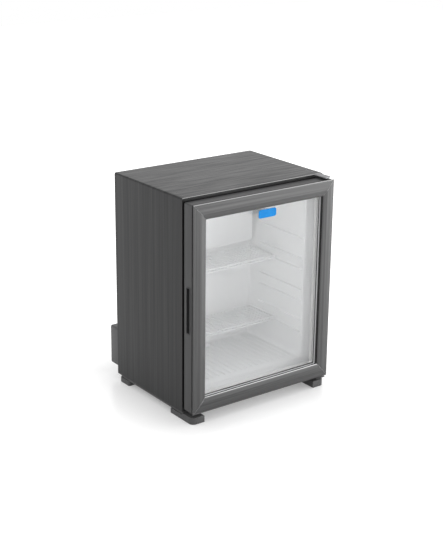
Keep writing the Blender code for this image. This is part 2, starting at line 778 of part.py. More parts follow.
def lamp_housing():
    """Housing on the ceiling, with a window for the lens and a hole for the knob's stem."""
    front = CASE_FRONT + LAMP_START
    back = front + LAMP_LENGTH
    top = CAVITY_TOP - GAP
    bottom = top - LAMP_DEPTH
    corner = 2 * LAMP_WALL
    outline = rounded(-LAMP_HALF_WIDTH, LAMP_HALF_WIDTH, front, back, corner)
    inner = rounded(-LAMP_HALF_WIDTH + LAMP_WALL, LAMP_HALF_WIDTH - LAMP_WALL,
                    front + LAMP_WALL, back - LAMP_WALL, corner - LAMP_WALL)
    loops = [(bottom, outline), (top, outline), (top, inner), (bottom + LAMP_WALL, inner)]
    housing = loft("lamp_housing", "Z", loops, "liner_plastic")
    window = box("lamp_window",
                 (LENS_OFFSET - LENS_HALF_WIDTH, front + LENS_MARGIN, bottom - LAMP_WALL),
                 (LENS_OFFSET + LENS_HALF_WIDTH, back - LENS_MARGIN, bottom + 2 * LAMP_WALL))
    stem_hole = cylinder("knob_hole", "Z", (KNOB_OFFSET, (front + back) / 2, bottom),
                         KNOB_STEM + GAP, 3 * LAMP_WALL)
    return cut(housing, window, stem_hole)


def lamp_lens():
    """Lens in the window, held by a rim that lies on the housing's floor."""
    front = CASE_FRONT + LAMP_START + LENS_MARGIN
    back = CASE_FRONT + LAMP_START + LAMP_LENGTH - LENS_MARGIN
    bottom = CAVITY_TOP - GAP - LAMP_DEPTH
    middle = LENS_OFFSET
    half = LENS_HALF_WIDTH
    seat = bottom + LAMP_WALL + GAP
    lens = box("lamp_lens", (middle - half + GAP, front + GAP, bottom),
               (middle + half - GAP, back - GAP, seat + LAMP_WALL), "white_lens")
    rim = box("lens_rim", (middle - half - LAMP_WALL, front - LAMP_WALL, seat),
              (middle + half + LAMP_WALL, back + LAMP_WALL, seat + LAMP_WALL / 2))
    return cut(lens, rim, operation="UNION")


def led_board():
    front = CASE_FRONT + LAMP_START + LENS_MARGIN
    back = CASE_FRONT + LAMP_START + LAMP_LENGTH - LENS_MARGIN
    seat = CAVITY_TOP - GAP - LAMP_DEPTH + 2 * LAMP_WALL + 2 * GAP
    low = (LENS_OFFSET - LENS_HALF_WIDTH, front, seat)
    high = (LENS_OFFSET + LENS_HALF_WIDTH, back, seat + LAMP_WALL)
    return box("led_board", low, high, "board_green")


def temperature_knob():
    """Knob under the housing, on a stem that goes up through its floor."""
    bottom = CAVITY_TOP - GAP - LAMP_DEPTH
    stem_top = LAMP_WALL * 3
    profile = [(0, stem_top), (KNOB_STEM, stem_top), (KNOB_STEM, -GAP), (KNOB_RADIUS, -GAP),
               (KNOB_RADIUS * 0.94, -KNOB_HEIGHT * 0.85), (KNOB_RADIUS * 0.82, -KNOB_HEIGHT),
               (0, -KNOB_HEIGHT)]
    middle_y = CASE_FRONT + LAMP_START + LAMP_LENGTH / 2
    return turned("temperature_knob", profile, (KNOB_OFFSET, middle_y, bottom), "liner_plastic")


def door_ring(name, profile, finish):
    """A frame that follows the door's outline: profile points are (inset, depth)."""
    loops = [(DOOR_FRONT + depth, inset_rect(HALF_DOOR, DOOR_BOTTOM, DOOR_TOP, inset, corner))
             for inset, depth, corner in profile]
    return loft(name, "Y", loops, finish, ring=True)


def door_frame():
    """Deep plastic frame that carries the glazing, with the grip slot in its left edge."""
    front = BEZEL_THICKNESS + GAP
    rebate = GLASS_EDGE - GLASS_PLAY
    corner = BEZEL_ROUND
    profile = [(FRAME_INSET, front, corner)]
    for step in range(ARC_STEPS + 1):
        angle = math.radians(90 * step / ARC_STEPS)
        profile.append((FRAME_INSET + FRAME_REAR_ROUND * (1 - math.cos(angle)),
                        DOOR_THICKNESS - FRAME_REAR_ROUND * (1 - math.sin(angle)), corner))
    profile += [(FRAME_LIP, DOOR_THICKNESS, corner), (FRAME_LIP, FRAME_LIP_FRONT, corner),
                (rebate, FRAME_LIP_FRONT, corner), (rebate, front, corner)]
    frame = door_ring("door_frame", profile, "door_plastic")
    return cut(frame, grip_pocket(), bush_hole("top"), bush_hole("bottom"))


def grip_box(name, grow, depth, outside):
    """A block for the grip, in from the left edge of the door frame."""
    across = GRIP_WIDTH / 2 + grow
    along = GRIP_LENGTH / 2 + grow
    return box(name, (GRIP_FACE - outside, GRIP_Y - across, DOOR_MIDDLE - along),
               (GRIP_FACE + depth, GRIP_Y + across, DOOR_MIDDLE + along))


def grip_pocket():
    return grip_box("grip_pocket", GAP, GRIP_DEPTH + GAP, GRIP_DEPTH)


def grip_insert():
    """Cup that lines the grip slot, with a thin rim on the edge of the door."""
    def outline(grow, corner):
        across = GRIP_WIDTH / 2 + grow
        along = GRIP_LENGTH / 2 + grow
        return rounded(GRIP_Y - across, GRIP_Y + across, DOOR_MIDDLE - along,
                       DOOR_MIDDLE + along, corner)

    corner = 2 * GRIP_WALL
    body = outline(0, corner)
    rim = outline(GRIP_RIM, corner + GRIP_RIM)
    bore = outline(-GRIP_WALL, corner - GRIP_WALL)
    floor = GRIP_FACE + GRIP_DEPTH
    seat = GRIP_FACE - GAP
    face = seat - GRIP_RIM_THICKNESS
    loops = [(floor, body), (seat, body), (seat, rim), (face, rim), (face, bore),
             (floor - GRIP_WALL, bore)]
    return loft("grip_insert", "X", loops, "door_plastic")


def bush_hole(end):
    height = DOOR_TOP if end == "top" else DOOR_BOTTOM
    return cylinder(f"bush_hole_{end}", "Z", (PIVOT_X, PIVOT_Y, height), BUSH_RADIUS + GAP,
                    2 * (BUSH_DEPTH + GAP))


def bezel_bar(name, length, reach, turn):
    """One mitred side of the front trim, as a section drawn between two 45 degree ends."""
    section = [(0, BEZEL_THICKNESS)]
    for step in range(ARC_STEPS + 1):
        angle = math.radians(90 * step / ARC_STEPS)
        section.append((BEZEL_ROUND * (1 - math.cos(angle)), BEZEL_ROUND * (1 - math.sin(angle))))
    section += [(BEZEL_WIDTH - BEZEL_SLOPE, 0), (BEZEL_WIDTH, BEZEL_DROP),
                (BEZEL_WIDTH, BEZEL_THICKNESS)]
    bm = bmesh.new()
    ends = []
    for side in (-1, 1):
        ends.append([bm.verts.new((side * (length / 2 - inward - MITRE_GAP), depth,
                                   reach - inward)) for inward, depth in section])
    skin(bm, ends)
    bar = add_object(name, finish_mesh(bm, name), "brushed_bezel",
                     (0, DOOR_FRONT, DOOR_MIDDLE))
    bar.rotation_euler = (0, turn, 0)
    return bar


def bezel():
    height = DOOR_TOP - DOOR_BOTTOM
    bars = []
    for index, name in enumerate(("bezel_top", "bezel_right", "bezel_bottom", "bezel_left")):
        across = index % 2 == 0
        length = 2 * HALF_DOOR if across else height
        reach = height / 2 if across else HALF_DOOR
        bars.append(bezel_bar(name, length, reach, math.pi / 2 * index))
    return bars


def pane(name, depth):
    outline = inset_rect(HALF_DOOR, DOOR_BOTTOM, DOOR_TOP, GLASS_EDGE, BEZEL_ROUND)
    front = DOOR_FRONT + depth
    return prism(name, "Y", front, front + PANE, outline, "clear_glass")


def glazing():
    """Two panes with a spacer between them, and the black seal in front of them."""
    seal_back = SEAL_FRONT + SEAL_DEPTH
    corner = BEZEL_ROUND
    seal = [(GLASS_EDGE, SEAL_FRONT, corner), (GLASS_EDGE, seal_back, corner),
            (BEZEL_WIDTH, seal_back, corner), (BEZEL_WIDTH, SEAL_FRONT, corner)]
    inner = GLASS_EDGE + SPACER_INSET
    outer = inner + SPACER_WIDTH
    spacer = [(inner, SPACER_FRONT, corner), (inner, SPACER_BACK, corner),
              (outer, SPACER_BACK, corner), (outer, SPACER_FRONT, corner)]
    return [pane("outer_glass", OUTER_GLASS_FRONT), pane("inner_glass", INNER_GLASS_FRONT),
            door_ring("glazing_seal", seal, "gasket_rubber"),
            door_ring("glass_spacer", spacer, "spacer_metal")]


def door_gasket():
    """Soft magnetic seal on the back of the door, round the mouth of the liner."""
    half = CAVITY_HALF + MOUTH_FLARE + GASKET_OFFSET
    low = CAVITY_FLOOR - MOUTH_FLOOR_FLARE - GASKET_OFFSET
    high = CAVITY_TOP + MOUTH_TOP_FLARE + GASKET_OFFSET
    corner = LINER_CORNER
    front = DOOR_BACK + GAP
    back = CASE_FRONT - GAP
    waist = (front + back) / 2
    section = [(0, front), (GASKET_BULB, waist), (0, back), (GASKET_WIDTH, back),
               (GASKET_WIDTH - GASKET_BULB, waist), (GASKET_WIDTH, front)]
    loops = [(along, inset_rect(half, low, high, -outward, corner + outward))
             for outward, along in section]
    return loft("door_gasket", "Y", loops, "gasket_rubber", ring=True)


def badge_plate():
    """Small blank plate on the glass, under the top of the bezel."""
    high = DOOR_TOP - BEZEL_WIDTH - BADGE_DROP
    back = DOOR_FRONT + OUTER_GLASS_FRONT - GAP
    half = BADGE_WIDTH / 2
    outline = rounded(BADGE_OFFSET - half, BADGE_OFFSET + half, high - BADGE_HEIGHT, high,
                      4 * BADGE_THICKNESS)
    return prism("badge_plate", "Y", back - BADGE_THICKNESS, back, outline, "badge_blue")


def door_bush(end):
    """Bush in the door with a flange that takes up the gap to the hinge plate."""
    if end == "top":
        room = PLATE_BOTTOM - DOOR_TOP
        place = (PIVOT_X, PIVOT_Y, DOOR_TOP)
    else:
        room = DOOR_BOTTOM - LEG_BOTTOM - HINGE_PLATE
        place = (PIVOT_X, PIVOT_Y, DOOR_BOTTOM)
    bore = PIN_RADIUS + PIN_PLAY
    flange = room - HINGE_CLEARANCE
    profile = [(bore, flange), (BUSH_FLANGE, flange), (BUSH_FLANGE, GAP), (BUSH_RADIUS, GAP),
               (BUSH_RADIUS, -BUSH_DEPTH), (bore, -BUSH_DEPTH), (bore, flange)]
    if end == "bottom":
        profile = [(radius, -height) for radius, height in reversed(profile)]
    return turned(f"{end}_door_bush", profile, place, "base_plastic")


def hinge_pin(end):
    """Pin that stands in the hinge plate and turns in the door's bush."""
    if end == "top":
        bottom = DOOR_TOP - PIN_LENGTH
        top = PLATE_TOP
    else:
        bottom = LEG_BOTTOM
        top = DOOR_BOTTOM + PIN_LENGTH
    middle = (PIVOT_X, PIVOT_Y, (bottom + top) / 2)
    return cylinder(f"{end}_hinge_pin", "Z", middle, PIN_RADIUS, top - bottom, "hinge_steel")


def pin_hole(end):
    height = PLATE_TOP if end == "top" else LEG_BOTTOM
    return cylinder(f"{end}_pin_hole", "Z", (PIVOT_X, PIVOT_Y, height), PIN_RADIUS + GAP,
                    4 * HINGE_PLATE)


def top_hinge_bracket():
    """Flat plate under the top of the case, reaching forward over the door."""
    middle = HALF_CASE - SCREW_SIDE
    outline = rounded(middle - HINGE_HALF_WIDTH, middle + HINGE_HALF_WIDTH,
                      PIVOT_Y - HINGE_REACH, CASE_FRONT + HINGE_TAIL, HINGE_HALF_WIDTH / 2)
    plate = prism("top_hinge_bracket", "Z", PLATE_BOTTOM, PLATE_TOP, outline, "hinge_steel")
    return cut(plate, pin_hole("top"), screw_holes("plate_screw_holes", SCREW_SHANK + GAP))


def bottom_hinge_bracket():
    """Angle on the front of the case, with its foot under the door."""
    back = CASE_FRONT - GAP
    front = PIVOT_Y - HINGE_REACH
    outline = [(back, LEG_BOTTOM), (back, LEG_BOTTOM + LEG_HEIGHT),
               (back - LEG_THICKNESS, LEG_BOTTOM + LEG_HEIGHT),
               (back - LEG_THICKNESS, LEG_BOTTOM + HINGE_PLATE),
               (front, LEG_BOTTOM + HINGE_PLATE), (front, LEG_BOTTOM)]
    right = HALF_DOOR - FRAME_INSET
    angle = prism("bottom_hinge_bracket", "X", right - LEG_WIDTH, right, outline, "hinge_steel")
    holes = [cylinder(f"leg_hole_{index}", "Y", (x, back, leg_screw_height()),
                      SCREW_HEAD + GAP, 4 * LEG_THICKNESS)
             for index, x in enumerate(leg_screw_places())]
    return cut(angle, pin_hole("bottom"), *holes)


def leg_screw_places():
    middle = HALF_DOOR - FRAME_INSET - LEG_WIDTH / 2
    return (middle - LEG_SCREW_SPACING / 2, middle + LEG_SCREW_SPACING / 2)


def leg_screw_height():
    return LEG_BOTTOM + (HINGE_PLATE + LEG_HEIGHT) / 2


def fixing(name, place, head, length, finish):
    """A screw or plug, its head flush with the outside and its shank pointing down."""
    profile = [(0, 0), (SCREW_HEAD, 0), (SCREW_HEAD, -head), (SCREW_SHANK, -head),
               (SCREW_SHANK, -length), (0, -length)]
    return turned(name, profile, place, finish)


def top_fixings():
    """Hinge screws on the right and blanking plugs on the left, where the door can be rehung."""
    made = []
    for side, label, finish in ((1, "top_hinge_screw", "hinge_steel"),
                                (-1, "blanking_plug", "base_plastic")):
        for row, end in zip(SCREW_ROWS, ("front", "rear")):
            place = (side * (HALF_CASE - SCREW_SIDE), CASE_FRONT + row, CASE_TOP - GAP)
            made.append(fixing(f"{label}_{end}", place, SHEET - GAP, SCREW_LENGTH, finish))
    return made


def leg_screws():
    """Two screws, flush in the bottom hinge's upright leg, against the liner's flange."""
    made = []
    for x, end in zip(leg_screw_places(), ("left", "right")):
        place = (x, CASE_FRONT - GAP - LEG_THICKNESS, leg_screw_height())
        screw = fixing(f"bottom_hinge_screw_{end}", place, LEG_THICKNESS, SCREW_LENGTH,
                       "hinge_steel")
        screw.rotation_euler = (math.pi / 2, 0, 0)
        made.append(screw)
    return made


def leg_screw_cutters(name):
    reach = 2 * (SCREW_LENGTH + GAP)
    return [cylinder(f"{name}_{index}", "Y", (x, CASE_FRONT - LEG_THICKNESS, leg_screw_height()),
                     SCREW_SHANK + GAP, reach)
            for index, x in enumerate(leg_screw_places())]


def boiler_jacket():
    outline = rounded(JACKET_LEFT, JACKET_LEFT + JACKET_WIDTH, UNIT_FRONT, JACKET_BACK,
                      JACKET_CORNER)
    return prism("boiler_jacket", "Z", JACKET_FLOOR, JACKET_TOP, outline, "zinc_sheet")


def heater_element():
    middle = (HEATER_X, UNIT_Y, JACKET_TOP + GAP + HEATER_HEIGHT / 2)
    return cylinder("heater_element", "Z", middle, HEATER_RADIUS, HEATER_HEIGHT, "hinge_steel",
                    HEATER_RADIUS / 4)


def vapour_pipe():
    """From the top of the boiler up and across to the condenser."""
    points = [(VAPOUR_X, UNIT_Y, JACKET_TOP + GAP), (VAPOUR_X, UNIT_Y, CONDENSER_Z),
              (CONDENSER_RIGHT + GAP, UNIT_Y, CONDENSER_Z)]
    return tube("vapour_pipe", bent_path(points, BEND), PIPE, "black_pipe")


def condenser():
    """Level pipe with square fins pressed on it."""
    pipe = tube("condenser", [(CONDENSER_LEFT, UNIT_Y, CONDENSER_Z),
                              (CONDENSER_RIGHT, UNIT_Y, CONDENSER_Z)], PIPE, "black_pipe")
    pipe = as_mesh(pipe, "black_pipe")
    length = CONDENSER_RIGHT - CONDENSER_LEFT
    count = int(length / CONDENSER_FIN_PITCH) - 1
    middle = (CONDENSER_LEFT + CONDENSER_RIGHT) / 2
    fins = []
    for index in range(count + 1):
        x = middle + (index - count / 2) * CONDENSER_FIN_PITCH
        fins.append(((x - FIN_SHEET / 2, UNIT_Y - CONDENSER_FIN_WIDTH / 2,
                      CONDENSER_Z - CONDENSER_FIN_HEIGHT / 2),
                     (x + FIN_SHEET / 2, UNIT_Y + CONDENSER_FIN_WIDTH / 2,
                      CONDENSER_Z + CONDENSER_FIN_HEIGHT / 2)))
    return cut(pipe, boxes("condenser_fins", fins), operation="UNION")


def liquid_pipe():
    """From the condenser down and forward through the back wall to the evaporator."""
    points = [(CONDENSER_LEFT - GAP, UNIT_Y, CONDENSER_Z),
              (WALL_PIPE_X, UNIT_Y, CONDENSER_Z),
              (WALL_PIPE_X, UNIT_Y, LIQUID_Z),
              (WALL_PIPE_X, FIN_PLATE_BACK + GAP, LIQUID_Z)]
    return tube("liquid_pipe", bent_path(points, PIPE * 2), PIPE, "black_pipe")


def return_pipe():
    """From the evaporator back through the wall and down to the absorber."""
    points = [(WALL_PIPE_X, FIN_PLATE_BACK + GAP, RETURN_Z),
              (WALL_PIPE_X, COIL_Y, RETURN_Z),
              (WALL_PIPE_X, COIL_Y, COIL_START + GAP)]
    return tube("return_pipe", bent_path(points, PIPE * 2), PIPE, "black_pipe")


def absorber_coil():
    """Level passes that zigzag down from the return pipe to the vessel."""
    points = [(WALL_PIPE_X, COIL_Y, COIL_START)]
    right = True
    height = COIL_TOP
    points.append((WALL_PIPE_X, COIL_Y, height))
    for index in range(COIL_PASSES):
        points.append((COIL_RIGHT if right else COIL_LEFT, COIL_Y, height))
        if index < COIL_PASSES - 1:
            height -= COIL_PITCH
            points.append((COIL_RIGHT if right else COIL_LEFT, COIL_Y, height))
        right = not right
    points[-1] = (VESSEL_LEFT + 2 * VESSEL_RADIUS, COIL_Y, height)
    points.append((VESSEL_LEFT + 2 * VESSEL_RADIUS, COIL_Y, VESSEL_Z + VESSEL_RADIUS + GAP))
    return tube("absorber_coil", bent_path(points, COIL_BEND), COIL_PIPE, "black_pipe")


def absorber_vessel():
    middle = ((VESSEL_LEFT + VESSEL_RIGHT) / 2, VESSEL_Y, VESSEL_Z)
    return cylinder("absorber_vessel", "X", middle, VESSEL_RADIUS, VESSEL_RIGHT - VESSEL_LEFT,
                    "black_pipe", VESSEL_RADIUS / 4)


def solution_pipe():
    """From the end of the vessel to the foot of the boiler."""
    points = [(VESSEL_RIGHT + GAP, VESSEL_Y, VESSEL_Z),
              (JACKET_LEFT - GAP, VESSEL_Y, VESSEL_Z)]
    return tube("solution_pipe", points, THIN_PIPE, "black_pipe")


def control_box():
    """Box for the mains connection and the controller, on the rear panel."""
    low = (BOX_LEFT, CASE_BACK + GAP, BOX_FLOOR)
    high = (BOX_LEFT + BOX_WIDTH, CASE_BACK + BOX_DEPTH, BOX_FLOOR + BOX_HEIGHT)
    case = box("control_box", low, high, "base_plastic", 0.003)
    half = (INLET_WIDTH / 2 + GAP, INLET_HEIGHT / 2 + GAP)
    x, z = inlet_centre()
    pocket = box("inlet_pocket", (x - half[0], high[1] - INLET_DEPTH - GAP, z - half[1]),
                 (x + half[0], high[1] + INLET_DEPTH, z + half[1]))
    return cut(case, pocket)


def inlet_centre():
    return BOX_LEFT + BOX_WIDTH / 2, BOX_FLOOR + BOX_HEIGHT / 3


def power_inlet():
    """Mains inlet set into the box, with a rim on the outside."""
    x, z = inlet_centre()

    def outline(grow):
        return rounded(x - INLET_WIDTH / 2 - grow, x + INLET_WIDTH / 2 + grow,
                       z - INLET_HEIGHT / 2 - grow, z + INLET_HEIGHT / 2 + grow,
                       INLET_WALL / 2)

    back = CASE_BACK + BOX_DEPTH
    loops = [(back - INLET_DEPTH, outline(0)), (back + GAP, outline(0)),
             (back + GAP, outline(INLET_LIP)), (back + GAP + INLET_LIP, outline(INLET_LIP)),
             (back + GAP + INLET_LIP, outline(-INLET_WALL)),
             (back - INLET_DEPTH + INLET_LIP, outline(-INLET_WALL))]
    return loft("power_inlet", "Y", loops, "lead_black")


def heater_lead():
    """Lead from the heater down the rear panel and across to the control box."""
    start = JACKET_TOP + 2 * GAP + HEATER_HEIGHT
    top = start + 2 * LEAD_BEND
    y = CASE_BACK + GAP + LEAD_RADIUS
    x = JACKET_LEFT + JACKET_WIDTH + LEAD_BEND
    run = BOX_FLOOR + BOX_HEIGHT / 8
    points = [(HEATER_X, UNIT_Y, start), (HEATER_X, UNIT_Y, top), (HEATER_X, y, top),
              (x, y, top), (x, y, run), (BOX_LEFT + BOX_WIDTH + GAP, y, run)]
    return tube("heater_lead", bent_path(points, LEAD_BEND), LEAD_RADIUS, "lead_black")


def unit_brackets():
    """Steel pieces that hold the cooling unit off the rear panel."""
    back = UNIT_FRONT - GAP
    front = CASE_BACK + GAP
    middle = JACKET_FLOOR + JACKET_HEIGHT / 2
    half = BRACKET_WIDTH / 2
    made = [box("boiler_bracket", (JACKET_X - half, front, middle - BRACKET_WIDTH),
                (JACKET_X + half, back, middle + BRACKET_WIDTH), "zinc_sheet", 0.001)]
    for name, x in (("absorber_bracket_left", (COIL_LEFT + WALL_PIPE_X) / 2),
                    ("absorber_bracket_right", COIL_RIGHT - COIL_BEND - half)):
        made.append(box(name, (x - half, front, COIL_FLOOR - COIL_PIPE),
                        (x + half, back, COIL_TOP), "zinc_sheet", 0.001))
    fin_front = UNIT_Y - CONDENSER_FIN_WIDTH / 2
    made.append(box("condenser_bracket",
                    (CONDENSER_LEFT + BRACKET_WIDTH, front, CONDENSER_Z - half),
                    (CONDENSER_RIGHT - BRACKET_WIDTH, fin_front - GAP, CONDENSER_Z + half),
                    "zinc_sheet", 0.001))
    return made


def build_cabinet():
    outer_case()
    rear_panel()
    bottom_panel()
    foam = insulation_foam()
    cut(foam, *leg_screw_cutters("foam_leg_screw"))
    liner = inner_liner()
    cut(liner, *leg_screw_cutters("liner_leg_screw"))
    base_frame()
    for side, label in ((-1, "left"), (1, "right")):
        front_foot(f"front_{label}_foot", side)
        rear_foot(f"rear_{label}_foot", side)
    evaporator_cover()
    evaporator_fins()
    lamp_housing()
    lamp_lens()
    led_board()
    temperature_knob()
    shelf("upper_shelf", UPPER_SHELF_DROP)
    shelf("lower_shelf", LOWER_SHELF_DROP)
    top_hinge_bracket()
    bottom_hinge_bracket()
    hinge_pin("top")
    hinge_pin("bottom")
    top_fixings()
    leg_screws()


def build_door():
    axis = pivot("door_pivot", (PIVOT_X, PIVOT_Y, DOOR_BOTTOM))
    pieces = [door_frame(), door_gasket(), grip_insert(), badge_plate()]
    pieces += bezel() + glazing()
    pieces += [door_bush("top"), door_bush("bottom")]
    bpy.context.view_layer.update()
    hang(axis, *pieces)


def build_cooling_unit():
    boiler_jacket()
    heater_element()
    vapour_pipe()
    condenser()
    liquid_pipe()
    return_pipe()
    absorber_coil()
    absorber_vessel()
    solution_pipe()
    control_box()
    power_inlet()
    heater_lead()
    unit_brackets()


clear_scene()
parts = new_collection("glass_door_minibar")
cutters = new_collection("cutters")
build_cabinet()
build_door()
build_cooling_unit()
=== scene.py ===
import json
import math

import bmesh
import bpy
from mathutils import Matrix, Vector

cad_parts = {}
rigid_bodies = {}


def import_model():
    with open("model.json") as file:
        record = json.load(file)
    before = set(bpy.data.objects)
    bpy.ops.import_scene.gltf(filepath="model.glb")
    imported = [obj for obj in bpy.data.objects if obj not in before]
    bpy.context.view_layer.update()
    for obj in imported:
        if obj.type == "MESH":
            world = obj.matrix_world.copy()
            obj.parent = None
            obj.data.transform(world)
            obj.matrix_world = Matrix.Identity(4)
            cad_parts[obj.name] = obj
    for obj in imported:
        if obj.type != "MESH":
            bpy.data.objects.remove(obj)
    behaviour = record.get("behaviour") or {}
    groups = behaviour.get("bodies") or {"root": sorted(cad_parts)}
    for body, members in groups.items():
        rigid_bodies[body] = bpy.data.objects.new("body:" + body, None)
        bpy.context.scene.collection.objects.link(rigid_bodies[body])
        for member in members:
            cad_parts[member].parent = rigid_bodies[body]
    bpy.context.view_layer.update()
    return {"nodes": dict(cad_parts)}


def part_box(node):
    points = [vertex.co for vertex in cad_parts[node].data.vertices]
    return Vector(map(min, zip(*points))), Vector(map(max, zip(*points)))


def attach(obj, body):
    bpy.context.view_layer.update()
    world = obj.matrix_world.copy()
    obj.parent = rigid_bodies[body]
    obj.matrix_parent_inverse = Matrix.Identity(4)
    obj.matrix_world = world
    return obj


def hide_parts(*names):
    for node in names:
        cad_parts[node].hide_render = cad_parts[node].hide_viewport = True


# Glass door minibar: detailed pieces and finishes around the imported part.
# Metres, door towards -Y.

for leftOver in list(bpy.data.objects):
    bpy.data.objects.remove(leftOver, do_unlink=True)

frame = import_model()
scene = bpy.context.scene
nodes = frame["nodes"]
print("frame loaded:", len(nodes), "nodes")


# Mesh helpers

def cosOf(degrees):
    return math.cos(math.radians(degrees))


def sinOf(degrees):
    return math.sin(math.radians(degrees))


def onAxis(axis, along, a, b):
    return {"X": (along, a, b), "Y": (a, along, b), "Z": (a, b, along)}[axis]


def otherAxes(axis):
    return [index for index in range(3) if "XYZ"[index] != axis]


def middleOf(node):
    low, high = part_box(node)
    return (low + high) / 2


def arc(a, b, radius, start, end, steps=6):
    turns = [start + (end - start) * step / steps for step in range(steps + 1)]
    return [(a + radius * cosOf(turn), b + radius * sinOf(turn)) for turn in turns]


def circle(a, b, radius, sides=32):
    return arc(a, b, radius, 0, 360, sides)[:-1]


def roundRect(a0, a1, b0, b1, radius, steps=8):
    radius = max(radius, 0.00005)
    corners = ((a1 - radius, b0 + radius, -90), (a1 - radius, b1 - radius, 0),
               (a0 + radius, b1 - radius, 90), (a0 + radius, b0 + radius, 180))
    return [point for a, b, start in corners
            for point in arc(a, b, radius, start, start + 90, steps)]


def boxLoop(axis, low, high, inset, corner, steps=8):  # rounded outline of a box along an axis
    a, b = otherAxes(axis)
    return roundRect(low[a] + inset, high[a] - inset, low[b] + inset, high[b] - inset, corner,
                     steps)


def quarterRound(radius, turns):
    return [(radius * (1 - cosOf(turn)), radius * (1 - sinOf(turn))) for turn in turns]


def skinRows(bm, rows, ring=False):
    pairs = list(zip(rows, rows[1:]))
    if ring:
        pairs.append((rows[-1], rows[0]))
    for first, second in pairs:
        for index in range(len(first)):
            bm.faces.new((first[index - 1], first[index], second[index], second[index - 1]))
    if not ring:
        bm.faces.new(rows[0])
        bm.faces.new(rows[-1])


def addLoft(bm, axis, loops, ring=False):  # loops: (place along the axis, outline)
    skinRows(bm, [[bm.verts.new(onAxis(axis, along, a, b)) for a, b in outline]
                  for along, outline in loops], ring)


def addBoxLoft(bm, axis, low, high, corner, profile, steps=8, ring=False):
    addLoft(bm, axis, [(along, boxLoop(axis, low, high, inset, own[0] if own else corner - inset,
                                       steps))
                       for along, inset, *own in profile], ring)  # own: a corner of its own


def addTurned(bm, axis, middle, profile, sides=32):  # profile: (radius, place along the axis)
    kept = [middle[index] for index in otherAxes(axis)]
    base = middle["XYZ".index(axis)]
    addLoft(bm, axis, [(base + along, circle(*kept, radius, sides)) for radius, along in profile])


def addRod(bm, axis, middle, radius, reach):
    addTurned(bm, axis, middle, [(radius, -reach), (radius, reach)])


def addSweep(bm, path, radius, sides=12, closed=False):
    points = [Vector(place) for place in path]
    side = None
    rows = []
    for index, point in enumerate(points):
        if closed:
            before, after = points[index - 1], points[(index + 1) % len(points)]
        else:
            before, after = points[max(index - 1, 0)], points[min(index + 1, len(points) - 1)]
        ahead = (after - before).normalized()
        side = ahead.orthogonal() if side is None else side - ahead * side.dot(ahead)
        side.normalize()
        other = ahead.cross(side)
        rows.append([bm.verts.new(point + side * a + other * b)
                     for a, b in circle(0, 0, radius, sides)])
    skinRows(bm, rows, closed)


def addBlock(bm, low, high, edge, axis="Z", corner=0.0, steps=3):  # a block with rounded edges
    index = "XYZ".index(axis)
    edge = min([edge] + [0.45 * (high[kept] - low[kept]) for kept in range(3)])
    start, end = low[index], high[index]
    addBoxLoft(bm, axis, low, high, max(corner, 1.01 * edge),
               [(start, edge), (start + 0.3 * edge, 0.3 * edge), (start + edge, 0),
                (end - edge, 0), (end - 0.3 * edge, 0.3 * edge), (end, edge)], steps)


def addCross(bm, place, axis, reach, depth, width=0.0009):  # cutter for a cross recess
    index, half = "XYZ".index(axis), width / 2
    across, up = [place[kept] for kept in otherAxes(axis)]
    plus = [(reach, -half), (reach, half), (half, half), (half, reach), (-half, reach),
            (-half, half), (-reach, half), (-reach, -half), (-half, -half), (-half, -reach),
            (half, -reach), (half, -half)]
    outline = [(across + a, up + b) for a, b in plus]
    addLoft(bm, axis, [(place[index] - depth, outline), (place[index] + depth, outline)])


def bentPath(points, bend, steps=10):  # corners turned into arcs
    path = [Vector(points[0])]
    for before, corner, after in zip(points, points[1:], points[2:]):
        corner = Vector(corner)
        back = (Vector(before) - corner).normalized()
        ahead = (Vector(after) - corner).normalized()
        half = math.acos(max(-1, min(1, back.dot(ahead)))) / 2
        reach = bend / math.tan(half)
        centre = corner + (back + ahead).normalized() * bend / math.sin(half)
        start = corner + back * reach - centre
        end = corner + ahead * reach - centre
        sweep = math.pi - 2 * half
        for step in range(steps + 1):
            angle = sweep * step / steps
            path.append(centre + (start * math.sin(sweep - angle) + end * math.sin(angle))
                        / math.sin(sweep))
    path.append(Vector(points[-1]))
    return path


def shadeSmooth(mesh, sharp):
    mesh.shade_smooth()
    mesh.set_sharp_from_angle(angle=math.radians(sharp))


def pieceFrom(bm, name, sharp=35):
    bmesh.ops.recalc_face_normals(bm, faces=bm.faces)
    mesh = bpy.data.meshes.new(name)
    bm.to_mesh(mesh)
    bm.free()
    shadeSmooth(mesh, sharp)
    piece = bpy.data.objects.new(name, mesh)
    scene.collection.objects.link(piece)
    return piece


def combine(piece, tool, operation):
    change = piece.modifiers.new("combine", "BOOLEAN")
    change.operation = operation
    change.solver = "EXACT"
    change.object = tool
    bpy.context.view_layer.update()
    graph = bpy.context.evaluated_depsgraph_get()
    made = bpy.data.meshes.new_from_object(piece.evaluated_get(graph))
    piece.modifiers.clear()
    piece.data = made
    shadeSmooth(made, 35)
    bpy.data.objects.remove(tool, do_unlink=True)


def softenEdges(piece, width, segments=2, angle=40):
    edge = piece.modifiers.new("edge", "BEVEL")
    edge.width = width
    edge.segments = segments
    edge.limit_method = "ANGLE"
    edge.angle_limit = math.radians(angle)


# Shader nodes and the groups shared by the finishes

def feed(tree, socket, value):
    if hasattr(value, "is_linked"):
        tree.links.new(value, socket)
    else:
        socket.default_value = value


def feedAll(tree, node, values):
    for label, value in values.items():
        feed(tree, node.inputs[label], value)


def addNode(tree, kind, values=None, **settings):
    node = tree.nodes.new("ShaderNode" + kind)
    for label, value in settings.items():
        setattr(node, label, value)
    feedAll(tree, node, values or {})
    return node


